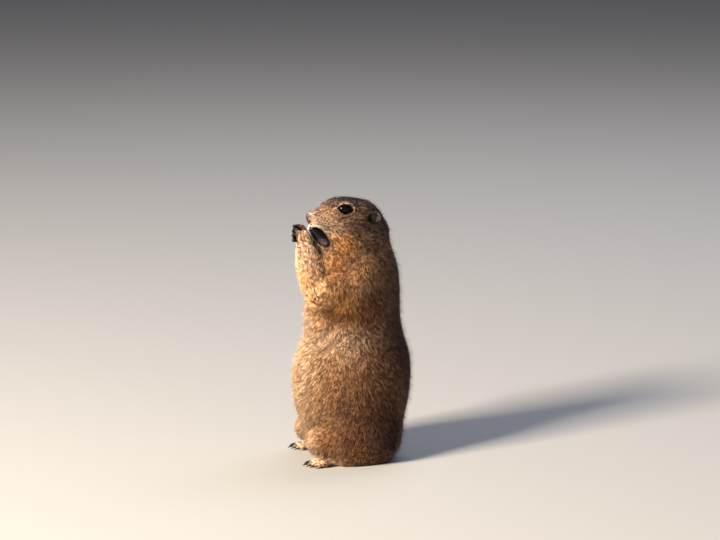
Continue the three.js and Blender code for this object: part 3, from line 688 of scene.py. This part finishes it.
# %% Grain of the coat
CLUMP_SHALLOW = 1.15 * MM
CLUMP_DEEP = 1.2 * MM
SHALLOW_COAT = 1.6 * MM
CLUMP_SCATTER = 0.16
CLUMP_SHARE = 0.86
SCRAMBLE = np.array([12.9898, 78.233, 37.719])
SCRAMBLE_SCALE = 43758.5453
SIDE_VIEW = [0, 1, 1]
PAD_HALF = (1, 8.5, 6.5)
PAD_EDGE = 0.2
DEEP_COAT = 2.6 * MM
DEEP_CALM = 0.2
CALM_LOWEST = 0.3
CALM_SPREAD = 0.2
SKIN_ALONG = 0.25  # the skin is shaded like the lower part of a tuft


def write_value(obj, name, values):
    layer = obj.data.attributes.new(name, "FLOAT", "POINT")
    layer.data.foreach_set("value", values.astype(np.float32))


def ticks(points):
    """A number from 0 to 1 for each tuft, shared by most tufts of a small clump."""
    depth = depth_of_coat(points)
    clump = np.where(depth < SHALLOW_COAT, CLUMP_SHALLOW, CLUMP_DEEP)[:, None]
    cell = np.floor((points + random.normal(0, CLUMP_SCATTER, points.shape) * clump) / clump)
    shared = np.abs(np.sin(cell @ SCRAMBLE) * SCRAMBLE_SCALE) % 1
    tick = np.where(random.random(len(points)) < CLUMP_SHARE, shared, random.random(len(points)))
    calm = patch(points * SIDE_VIEW, PAD * SIDE_VIEW, PAD_HALF, PAD_EDGE)
    calm = np.maximum(calm, DEEP_CALM * (depth > DEEP_COAT))
    return tick * (1 - calm) + (CALM_LOWEST + CALM_SPREAD * tick) * calm


random = np.random.default_rng(SEED)
skin_points = read_points(skin)
for kind, mask in markings(skin_points).items():
    write_value(skin, kind, mask)
write_value(skin, "tick", ticks(skin_points))
write_value(skin, "along", np.full(len(skin_points), SKIN_ALONG))
print("values on the skin:", ", ".join(KINDS), "and tick, along")

# %% [markdown]
# ## Building materials
#
# A material is a tree of nodes. These helpers add one node each and hand on its output, so that a whole
# material reads as a list of layers.

# %% Helpers for materials
NOISE_DETAIL = 3


def new_material(name, color, roughness):
    material = bpy.data.materials.new(name)
    material.use_nodes = True
    shader = material.node_tree.nodes["Principled BSDF"]
    shader.inputs["Base Color"].default_value = (*color, 1)
    shader.inputs["Roughness"].default_value = roughness
    return material, material.node_tree, shader


def link(tree, output, target):
    tree.links.new(output, target)


def mixed(tree, base, color, factor, blend="MIX"):
    """A colour laid over another, as strongly as the factor says."""
    node = tree.nodes.new("ShaderNodeMix")
    node.data_type = "RGBA"
    node.blend_type = blend
    for socket, value in ((node.inputs["Factor"], factor), (node.inputs[6], base), (node.inputs[7], color)):
        if isinstance(value, (tuple, float, int)):
            socket.default_value = (*value, 1) if isinstance(value, tuple) else value
        else:
            link(tree, value, socket)
    return node.outputs[2]


def ranged(tree, value, from_low, from_high, to_low, to_high):
    """A value stretched from one range to another."""
    node = tree.nodes.new("ShaderNodeMapRange")
    node.inputs["From Min"].default_value = from_low
    node.inputs["From Max"].default_value = from_high
    node.inputs["To Min"].default_value = to_low
    node.inputs["To Max"].default_value = to_high
    link(tree, value, node.inputs["Value"])
    return node.outputs["Result"]


def attribute(tree, name):
    """A value that was written on the points of the mesh."""
    node = tree.nodes.new("ShaderNodeAttribute")
    node.attribute_name = name
    return node.outputs["Fac"]


def clouds(tree, scale, start, full, strength):
    """Soft patches of noise in space, with about as many to a metre as the scale says."""
    place = tree.nodes.new("ShaderNodeNewGeometry")
    node = tree.nodes.new("ShaderNodeTexNoise")
    node.inputs["Scale"].default_value = scale
    node.inputs["Detail"].default_value = NOISE_DETAIL
    link(tree, place.outputs["Position"], node.inputs["Vector"])
    return ranged(tree, node.outputs["Fac"], start, full, 0.0, strength)


# %% [markdown]
# ## Colours of the coat
#
# One material serves skin and tufts. It lays the six kinds of marking over a buff ground and breaks them up
# with noise. Then it lightens or darkens the clumps, for the pale and dark bands and the black tips of the
# hairs, and shades each tuft towards its root, where little light gets in. A painted picture could do this
# too, but values on the points and a little noise follow every tuft without one.

# %% The fur material
BUFF = (0.46, 0.26, 0.13)
CREAM = (0.68, 0.49, 0.32)
UMBER = (0.056, 0.033, 0.044)
ORANGE = (0.62, 0.29, 0.075)
RUFOUS = (0.20, 0.075, 0.025)
WHITE = (0.86, 0.80, 0.76)
# near black for dark skin and hair, and painted shade in the mouth, nostrils, ears' cups and on the right
# hand
NEAR_BLACK_AND_SHADE = (0.008, 0.006, 0.007)
PALE_TICK = (2.7, 2.8, 3.0)
DARK_TICK = (0.30, 0.26, 0.29)
BLACK_TICK = (0.1, 0.09, 0.11)
ROOT_SHADE = (0.45, 0.4, 0.4)
# scale, where the noise starts to show and shows in full, strength
CREAM_CLOUDS = (90, 0.4, 0.7, 0.3)
UMBER_CLOUDS = (60, 0.45, 0.7, 0.25)
SOFT_MARKS = (("warm", ORANGE), ("pale", CREAM), ("dark", UMBER), ("rufous", RUFOUS))
TICK_BANDS = (
    # colour to multiply with, where on the scale of ticks it starts and is full, strength
    (PALE_TICK, 0.32, 0.12, 0.85),
    (DARK_TICK, 0.52, 0.68, 0.85),
    (BLACK_TICK, 0.84, 0.90, 0.9),
)

fur, tree, shader = new_material("fur", BUFF, roughness=0.75)
color = mixed(tree, BUFF, CREAM, clouds(tree, *CREAM_CLOUDS))
for kind, shade in SOFT_MARKS:
    color = mixed(tree, color, shade, attribute(tree, kind))
color = mixed(tree, color, UMBER, clouds(tree, *UMBER_CLOUDS))
color = mixed(tree, color, WHITE, attribute(tree, "white"))
tick = attribute(tree, "tick")
along = attribute(tree, "along")
for shade, start, full, strength in TICK_BANDS:
    color = mixed(tree, color, shade, ranged(tree, tick, start, full, 0.0, strength), "MULTIPLY")
color = mixed(tree, color, ROOT_SHADE, ranged(tree, along, 0.15, 0.75, 1.0, 0.0), "MULTIPLY")
# near black skin and hair, and painted shade in the mouth, nostrils, ears' cups and on the right hand
color = mixed(tree, color, NEAR_BLACK_AND_SHADE, attribute(tree, "bare"))
link(tree, color, shader.inputs["Base Color"])
shader.inputs["Specular IOR Level"].default_value = 0.2
shader.inputs["Sheen Weight"].default_value = 0.04
shader.inputs["Sheen Roughness"].default_value = 0.5
skin.data.materials.append(fur)
print("nodes in the fur material:", len(tree.nodes))

# %% [markdown]
# ## Two kinds of tuft
#
# Real fur is thousands of fine hairs, which cling together in small pointed tufts. Blender could grow it as
# particle hair, but a model that is handed on as a mesh needs solid tufts. A short tuft is a slim pyramid of
# four triangles. A long one, on the tail, is a three-sided blade with a ring at the root, a ring at the bend
# and one point at the tip, ten triangles in all. For each point, "along" says how far along the tuft it is
# and "map" where it lies in the tuft's patch of the map.

# %% Forms of the tufts
LONG_BLADE = {
    "triangles": np.array([
        [0, 2, 1],
        [0, 1, 4], [0, 4, 3],
        [1, 2, 5], [1, 5, 4],
        [2, 0, 3], [2, 3, 5],
        [3, 4, 6], [4, 5, 6], [5, 3, 6],
    ]),
    "along": [0, 0, 0, 0.55, 0.55, 0.55, 1],
    "map": [[-0.5, -0.5], [0.5, -0.5], [0, -0.5], [-0.4, 0], [0.4, 0], [0, 0], [0, 0.5]],
}
SHORT_BLADE = {
    "triangles": np.array([[0, 2, 1], [0, 1, 3], [1, 2, 3], [2, 0, 3]]),
    "along": [0.2, 0.2, 0.2, 1],
    "map": [[-0.5, -0.5], [0.5, -0.5], [0, -0.5], [0, 0.5]],
}
SHORT_LENGTH = 5.5 * MM
MAP_PATCH = 0.003
print("triangles of a tuft:", len(LONG_BLADE["triangles"]), "or", len(SHORT_BLADE["triangles"]))

# %% [markdown]
# ## Drawing the roots
#
# Roots are drawn over the skin, more closely where the table asks for a small spacing. Each triangle of the
# skin gets a share of them, so the tufts stand evenly, and a random point inside it, so they form no rows.

# %% Draw the roots
LOWEST_ROOT = 0.7 * MM
NOSTRIL_HAIRLESS = 0.8


def naked(points):
    """True where no hair grows: in the mouth, the nostrils, the ears' cups and under the eyeballs."""
    off_middle = np.abs(points[:, 0] - MIDLINE)
    none = mouth_place(points)[0] < 0
    none |= (in_almond(points, OPEN_HALF) < 0) & (off_middle > LID_OFF_MIDDLE)
    for ear in EAR_CUPS:
        none |= ear_patch(points, ear, EAR_HAIRLESS) > 0.5
    for nostril in NOSTRILS:
        none |= nostril_distance(points, nostril) < NOSTRIL_HAIRLESS
    return none


def read_triangles(obj):
    """The three points of each triangle, by number, and its three places on the map."""
    mesh = obj.data
    corners = np.empty(len(mesh.polygons) * 3, int)
    mesh.polygons.foreach_get("vertices", corners)
    uv = np.empty(len(mesh.loops) * 2)
    mesh.uv_layers[0].data.foreach_get("uv", uv)
    return corners.reshape(-1, 3), uv.reshape(-1, 3, 2)


def tufts_wanted(points, corners):
    """How many tufts each triangle should bear, mostly less than one."""
    a, b, c = (points[corners[:, k]] for k in range(3))
    area = np.linalg.norm(np.cross(b - a, c - a), axis=1) / 2
    middle = (a + b + c) / 3
    sizes, _ = coat_at(middle)
    wanted = area / sizes[:, 3] ** 2
    wanted[middle[:, 2] < LOWEST_ROOT] = 0
    return wanted


def draw_roots(obj):
    """Places for tufts: a point in a triangle of the skin, with its normal and its place on the map."""
    points = read_points(obj)
    normals = read_vectors(obj, "normal")
    corners, uv = read_triangles(obj)
    wanted = tufts_wanted(points, corners)
    total = wanted.sum()
    count = int(total)
    marks = (np.arange(count) + random.random(count)) / count * total
    chosen = np.minimum(np.searchsorted(np.cumsum(wanted), marks), len(wanted) - 1)
    r = random.random((count, 2))
    outside = r.sum(axis=1) > 1
    r[outside] = 1 - r[outside]
    share = np.column_stack([1 - r.sum(axis=1), r])[:, :, None]
    at = (share * points[corners[chosen]]).sum(axis=1)
    out = (share * normals[corners[chosen]]).sum(axis=1)
    out /= np.linalg.norm(out, axis=1)[:, None]
    place = (share * uv[chosen]).sum(axis=1)
    hairy = ~naked(at)
    return at[hairy], out[hairy], place[hairy]


at, out, place = draw_roots(skin)
print("roots:", len(at))

# %% [markdown]
# ## Growing the tufts
#
# A tuft starts a little inside the skin and lies over it. Its tip reaches out by up to the depth of the coat,
# which brings the animal back to the solid's outline. No two tufts are alike: lie, length, height and width
# vary, and a few stray ones stand out, as in a real coat. None of them reaches the floor.

# %% Shape the tufts
LIE_SCATTER = 0.2
LENGTHS = (0.65, 1.15)
HEIGHTS = (0.45, 1.0)
WIDTHS = (0.75, 1.2)
SWAY = 0.12
STRAYS = 0.07
STRAY_LENGTH = 1.25
STRAY_WIDTH = 0.55
STRAY_HEIGHTS = (1.2, 2.2)
ROOT_DEPTH = 0.25 * MM
RIDGE = 0.35
BEND_ALONG = 0.45
BEND_HEIGHT = 0.6
BEND_WIDTH = 0.85
BEND_RIDGE = 0.8
TIP_OVER_FLOOR = 0.4 * MM
BEND_OVER_FLOOR = 0.8 * MM


def lifted(points, lowest):
    """Brings points that hang too low up to the lowest height allowed."""
    points[:, 2] = np.maximum(points[:, 2], lowest)
    return points


def blades(at, out, short):
    """The points of each tuft: seven for a long one, four for a short one."""
    sizes, lie = coat_at(at)
    count = len(at)
    depth, length, width = (sizes[:, k] for k in range(3))
    lie = lie + random.normal(0, LIE_SCATTER, (count, 3)) * np.linalg.norm(lie, axis=1)[:, None]
    lie -= (lie * out).sum(axis=1)[:, None] * out
    lie = unit_rows(lie)
    side = np.cross(out, lie)
    long = length * random.uniform(*LENGTHS, count)
    high = depth * random.uniform(*HEIGHTS, count)
    wide = width * random.uniform(*WIDTHS, count)
    stray = random.random(count) < STRAYS
    long[stray] *= STRAY_LENGTH
    wide[stray] *= STRAY_WIDTH
    high[stray] = depth[stray] * random.uniform(*STRAY_HEIGHTS, stray.sum())
    root = at - out * ROOT_DEPTH
    tip = at + lie * long[:, None] + out * high[:, None]
    tip += side * (random.normal(0, SWAY, count) * long)[:, None]
    tip = lifted(tip, TIP_OVER_FLOOR)
    half = side * (wide / 2)[:, None]
    lift = out * (RIDGE * wide)[:, None]
    if short:
        return np.stack([root - half, root + half, root + lift + out * ROOT_DEPTH, tip], axis=1)
    bend = at + lie * (BEND_ALONG * long)[:, None] + out * (BEND_HEIGHT * high)[:, None]
    bend += side * (random.normal(0, SWAY / 2, count) * long)[:, None]
    bend = lifted(bend, BEND_OVER_FLOOR)
    root_ring = [root - half, root + half, root + lift]
    bend_ring = [bend - BEND_WIDTH * half, bend + BEND_WIDTH * half, bend + BEND_RIDGE * lift]
    return np.stack([*root_ring, *bend_ring, tip], axis=1)


is_short = coat_at(at)[0][:, 1] < SHORT_LENGTH
print("short tufts:", is_short.sum(), "long tufts:", (~is_short).sum())

# %% [markdown]
# All tufts together would be too heavy for one mesh, so the coat is cut into layers from the floor upwards.
# Every tuft carries the markings, the grain and the place on the map of its root.

# %% Grow the coat


def mesh_from(name, points, triangles):
    """A mesh object from arrays, without a loop over its faces."""
    mesh = bpy.data.meshes.new(name)
    mesh.vertices.add(len(points))
    mesh.vertices.foreach_set("co", points.astype(np.float32).ravel())
    mesh.loops.add(triangles.size)
    mesh.loops.foreach_set("vertex_index", triangles.astype(np.int32).ravel())
    mesh.polygons.add(len(triangles))
    mesh.polygons.foreach_set("loop_start", np.arange(0, triangles.size, 3, dtype=np.int32))
    mesh.update(calc_edges=True)
    obj = bpy.data.objects.new(name, mesh)
    bpy.context.collection.objects.link(obj)
    return obj


def grow_piece(name, blade, at, out, place):
    """One piece of coat: its tufts, its markings and its map."""
    corners = len(blade["along"])
    count = len(at)
    points = blades(at, out, blade is SHORT_BLADE)
    triangles = (blade["triangles"][None] + corners * np.arange(count)[:, None, None]).reshape(-1, 3)
    obj = mesh_from(name, points.reshape(-1, 3), triangles)
    for kind, mask in markings(at).items():
        write_value(obj, kind, np.repeat(mask, corners))
    write_value(obj, "tick", np.repeat(ticks(at), corners))
    write_value(obj, "along", np.tile(blade["along"], count))
    spots = (place[:, None] + np.array(blade["map"])[None] * MAP_PATCH).reshape(-1, 2)
    layer = obj.data.uv_layers.new(name="OFBake")
    layer.data.foreach_set("uv", spots[triangles.ravel()].astype(np.float32).ravel())
    obj.data.materials.append(fur)
    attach(obj, "root")


total = 0
for label, blade, chosen in (("long", LONG_BLADE, ~is_short), ("short", SHORT_BLADE, is_short)):
    roots = np.nonzero(chosen)[0]
    roots = roots[np.argsort(at[roots, 2])]
    pieces = math.ceil(len(roots) * len(blade["triangles"]) / TRIANGLES_PER_PIECE)
    for k, part in enumerate(np.array_split(roots, pieces)):
        grow_piece(f"coat_{label}_{k + 1}", blade, at[part], out[part], place[part])
    total += len(roots) * len(blade["triangles"])
    print(label, "tufts:", len(roots), "in", pieces, "pieces")
print("triangles of the coat:", total)

# %% [markdown]
# ## Eyes
#
# The animal's eye is so dark that iris and pupil can't be told apart. An eye could be built with a cornea
# over an iris, but one smooth ball, nearly black and wet, looks the same. It is as large and as deep as in
# the solid.

# %% Eyeballs
EYE_BLACK = (0.003, 0.002, 0.002)

wet_black, _, shader = new_material("wet black", EYE_BLACK, roughness=0.05)
shader.inputs["Specular IOR Level"].default_value = 0.12


def finished(obj, name, material, replaced=()):
    """Names a piece, gives it its material and lets it ride with the body."""
    only(obj)
    bpy.ops.object.transform_apply(location=True, rotation=True, scale=True)
    obj.name = name
    obj.data.materials.clear()
    obj.data.materials.append(material)
    if replaced:
        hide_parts(*replaced)
    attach(obj, "root")


for label in ("left", "right"):
    eye = f"eye_{label}"
    bpy.ops.mesh.primitive_uv_sphere_add(segments=48, ring_count=32, radius=1, location=middle_of(eye))
    ball = bpy.context.object
    ball.scale = half_size_of(eye)
    bpy.ops.object.shade_smooth()
    finished(ball, f"eyeball_{label}", wet_black, [eye])
print("eyeball, mm:", (2 * half_size_of("eye_left") / MM).round(1))

# %% [markdown]
# ## Horn, ivory and wet flesh in painted shade
#
# Claws are dark horn and the incisors are ivory. The wet tongue is painted near black as the shade inside the
# mouth, and low in the mouth, where some light falls, grey and mauve streaks of its lining are painted light.
# A picture could give the streaks. Noise that is mixed in by height is simpler, and the other two need only a
# colour and a gloss.

# %% Horn, ivory and wet flesh in painted shade
HORN_BLACK = (0.022, 0.017, 0.016)
IVORY = (0.62, 0.56, 0.45)
# painted shade: the tongue is near black, as the inside of the mouth lies in shade
SHADED_WET_FLESH = (0.012, 0.008, 0.011)
MOUTH_SHADE_BLACK = (0.006, 0.005, 0.007)
MAUVE = (0.27, 0.21, 0.25)
STREAKS = (800, 0.42, 0.6, 1.0)
STREAKS_FROM = MOUTH_MIDDLE[2] - 1 * MM
STREAKS_FULL = MOUTH_MIDDLE[2] - 6 * MM

horn, _, _ = new_material("horn", HORN_BLACK, roughness=0.32)
ivory, _, _ = new_material("ivory", IVORY, roughness=0.3)
shaded_wet_flesh, tree, shader = new_material("shaded wet flesh", SHADED_WET_FLESH, roughness=0.3)
shader.inputs["Specular IOR Level"].default_value = 0.35
# painted light and shade: near black above, and grey-mauve lining streaks low in the mouth where light falls
low_streaks = mixed(tree, MOUTH_SHADE_BLACK, MAUVE, clouds(tree, *STREAKS))
height = tree.nodes.new("ShaderNodeSeparateXYZ")
link(tree, tree.nodes.new("ShaderNodeNewGeometry").outputs["Position"], height.inputs["Vector"])
depth_in_mouth = ranged(tree, height.outputs["Z"], STREAKS_FROM, STREAKS_FULL, 0.0, 1.0)
link(tree, mixed(tree, MOUTH_SHADE_BLACK, low_streaks, depth_in_mouth), shader.inputs["Base Color"])
print("nodes in the shaded wet flesh material:", len(tree.nodes))

# %% [markdown]
# ## Claws, teeth and tongue
#
# These could be modelled anew, but the solids already have their shapes and fit their places. So a copy of
# each gets a finer, rounded surface, and the copies of one kind are joined.

# %% Claws, teeth and tongue
ROUNDING = 2


def refined(name, members, material):
    """One smooth piece made from the solids of several nodes."""
    piece = joined_twins(members)
    merge_doubles(piece, distance=0.02 * MM)
    round_off = piece.modifiers.new("round off", "SUBSURF")
    round_off.levels = ROUNDING
    round_off.render_levels = ROUNDING
    apply_all(piece)
    bpy.ops.object.shade_smooth()
    finished(piece, name, material, members)
    print(name, len(piece.data.polygons), "faces")


refined("claws", sorted(name for name in nodes if name.startswith("claw")), horn)
refined("incisors", ["upper_incisors", "lower_incisors"], ivory)
refined("mouth_floor", ["tongue"], shaded_wet_flesh)

# %% [markdown]
# ## Whiskers
#
# Long stiff hairs stand in the dots of the whisker pad and sweep out and back. Curves with a bevel would do,
# but a few rings of points along a bow are lighter. Each whisker is a thin tube with four sides that ends in
# a point, and every second dot bears one.

# %% Whiskers
WHISKER_SIDES = 4
WHISKER_RADIUS = 0.09 * MM
WHISKER_FINEST = 0.02 * MM
WHISKER_REACHES = (11, 20)
WHISKER_OUTWARDS = 0.55
WHISKER_BACKWARDS = 0.35
WHISKER_RISES = (-0.5, 0.05)
WHISKER_BOW = np.array([0.0, 0.75, -0.3])
WHISKER_STEPS = np.linspace(0, 1, 7)
WHISKER_IN_SKIN = 0.6 * MM
NEAR_ROOT = 1.2 * MM
NEARLY_UP = [0.1, 0.2, 1.0]


def tube_points(path):
    """Rings of points along a path, getting smaller, and the path's end."""
    points = []
    way = path[-1] - path[0]
    across_way = np.cross(way, NEARLY_UP)
    across_way /= np.linalg.norm(across_way)
    up_way = np.cross(way / np.linalg.norm(way), across_way)
    for i, at_point in enumerate(path[:-1]):
        size = WHISKER_RADIUS * (1 - i / (len(path) - 1)) + WHISKER_FINEST
        for corner in range(WHISKER_SIDES):
            angle = 2 * math.pi * corner / WHISKER_SIDES
            points.append(at_point + size * (math.cos(angle) * across_way + math.sin(angle) * up_way))
    points.append(path[-1])
    return points


def tube_triangles(start, rings):
    """The faces of one tube: its wall, its point and the cap at its root."""
    triangles = []
    for i in range(rings - 1):
        for corner in range(WHISKER_SIDES):
            a = start + i * WHISKER_SIDES + corner
            b = start + i * WHISKER_SIDES + (corner + 1) % WHISKER_SIDES
            triangles += [(a, b, b + WHISKER_SIDES), (a, b + WHISKER_SIDES, a + WHISKER_SIDES)]
    last = start + (rings - 1) * WHISKER_SIDES
    tip = start + rings * WHISKER_SIDES
    for corner in range(WHISKER_SIDES):
        triangles.append((last + corner, last + (corner + 1) % WHISKER_SIDES, tip))
    for corner in range(1, WHISKER_SIDES - 1):
        triangles.append((start, start + corner + 1, start + corner))
    return triangles


def surface_x(side, y, z):
    """How far out the skin is at a place of the muzzle seen from the side."""
    near = np.hypot(skin_points[:, 1] - y, skin_points[:, 2] - z) < NEAR_ROOT
    near &= (skin_points[:, 0] - MIDLINE) * side > 0
    return side * np.max((skin_points[near, 0] - MIDLINE) * side) + MIDLINE


def whisker_path(side, y, z):
    """A bow from a dot of the pad, outwards and back, with a random reach and rise."""
    root = np.array([surface_x(side, y, z) - WHISKER_IN_SKIN * side, y, z])
    far = random.uniform(*WHISKER_REACHES) * MM
    out_way = np.array([WHISKER_OUTWARDS * side, WHISKER_BACKWARDS, random.uniform(*WHISKER_RISES)])
    return np.array([root + out_way * (far * t) + WHISKER_BOW * (far * t * t) for t in WHISKER_STEPS])


points, triangles = [], []
paths = [whisker_path(side, y, z) for side, y, z in whisker_roots()[::2]]
for path in paths:
    triangles += tube_triangles(len(points), len(path) - 1)
    points += tube_points(path)
whiskers = mesh_from("whiskers", np.array(points), np.array(triangles))
finished(whiskers, "whiskers", horn)
print("whiskers:", len(paths))

# %% [markdown]
# ## Floor and sky
#
# The animal sits on a plain pale floor under a faint blue sky, so that nothing draws the eye from it.

# %% Floor and sky
FLOOR_GREY = (0.5, 0.49, 0.48)
SKY_COLOR = (0.74, 0.80, 1.0)
SKY_STRENGTH = 0.13

bpy.ops.mesh.primitive_plane_add(size=40, location=(0, 0, 0))
floor = bpy.context.object
floor.name = "floor"
floor_paint, _, _ = new_material("pale floor", FLOOR_GREY, roughness=0.9)
floor.data.materials.append(floor_paint)

world = bpy.context.scene.world or bpy.data.worlds.new("studio")
bpy.context.scene.world = world
world.use_nodes = True
background = world.node_tree.nodes["Background"]
background.inputs["Color"].default_value = (*SKY_COLOR, 1)
background.inputs["Strength"].default_value = SKY_STRENGTH
print("floor and sky are set")

# %% [markdown]
# ## Lamps
#
# Low sun could be a single hard lamp, but the shaded side would then have no shape. Here a warm key light
# stands low in front, a small lamp puts the spark in the eye, and two cool ones light the back and head.

# %% Lamps
LAMPS = [
    # name, azimuth and elevation in degrees, distance and size in metres, watts, colour
    ("key", 26, 25, 3.2, 0.8, 262, (1.0, 0.87, 0.68)),
    ("catch", 34, 28, 2.6, 0.2, 26, (1.0, 0.95, 0.88)),
    ("rim", 205, 40, 3.0, 1.0, 8, (0.60, 0.66, 1.0)),
    ("top", 235, 62, 3.2, 1.8, 36, (0.85, 0.9, 1.0)),
]
CHEST = Vector(body_point(0, 0, 130))


def way_towards(azimuth, elevation):
    """The direction from the animal to a lamp or camera, where azimuth 0 is in front and 90 at its left."""
    a, e = math.radians(azimuth), math.radians(elevation)
    return Vector((math.sin(a) * math.cos(e), -math.cos(a) * math.cos(e), math.sin(e)))


def look_along(obj, way):
    obj.rotation_euler = way.to_track_quat("-Z", "Y").to_euler()


for name, azimuth, elevation, distance, size, power, light_color in LAMPS:
    way = way_towards(azimuth, elevation)
    bpy.ops.object.light_add(type="AREA", location=CHEST + way * distance)
    light = bpy.context.object
    light.name = name
    light.data.size = size
    light.data.energy = power
    light.data.color = light_color
    look_along(light, -way)
print("lamps:", len(LAMPS))

# %% [markdown]
# ## Camera
#
# The camera stands at the photograph's angle: a little above, and nearly square to the animal's left side,
# with its face to the left of the picture. Its aim and lens follow from the real size of a pixel and from
# the pixel where the trunk's middle meets the floor, so that the framing matches.

# %% Camera
PHOTO_WIDTH = 720
PHOTO_HEIGHT = 540
AZIMUTH = 76
ELEVATION = 10
MM_PER_PIXEL = 0.92
AXIS_PIXEL = (350, 457)
DISTANCE = 2.5
SENSOR_WIDTH = 36

a, e = math.radians(AZIMUTH), math.radians(ELEVATION)
across = (PHOTO_WIDTH / 2 - AXIS_PIXEL[0]) * MM_PER_PIXEL
up = (AXIS_PIXEL[1] - PHOTO_HEIGHT / 2) * MM_PER_PIXEL
aim = Vector(body_point(across * math.cos(a), across * math.sin(a), up / math.cos(e)))
away_from_animal = way_towards(AZIMUTH, ELEVATION)
bpy.ops.object.camera_add(location=aim + away_from_animal * DISTANCE)
camera = bpy.context.object
look_along(camera, -away_from_animal)
camera.data.sensor_width = SENSOR_WIDTH
camera.data.lens = SENSOR_WIDTH * DISTANCE / (PHOTO_WIDTH * MM_PER_PIXEL * MM)
bpy.context.scene.camera = camera
bpy.context.scene.view_settings.view_transform = "Standard"
print("lens, mm:", round(camera.data.lens, 1))
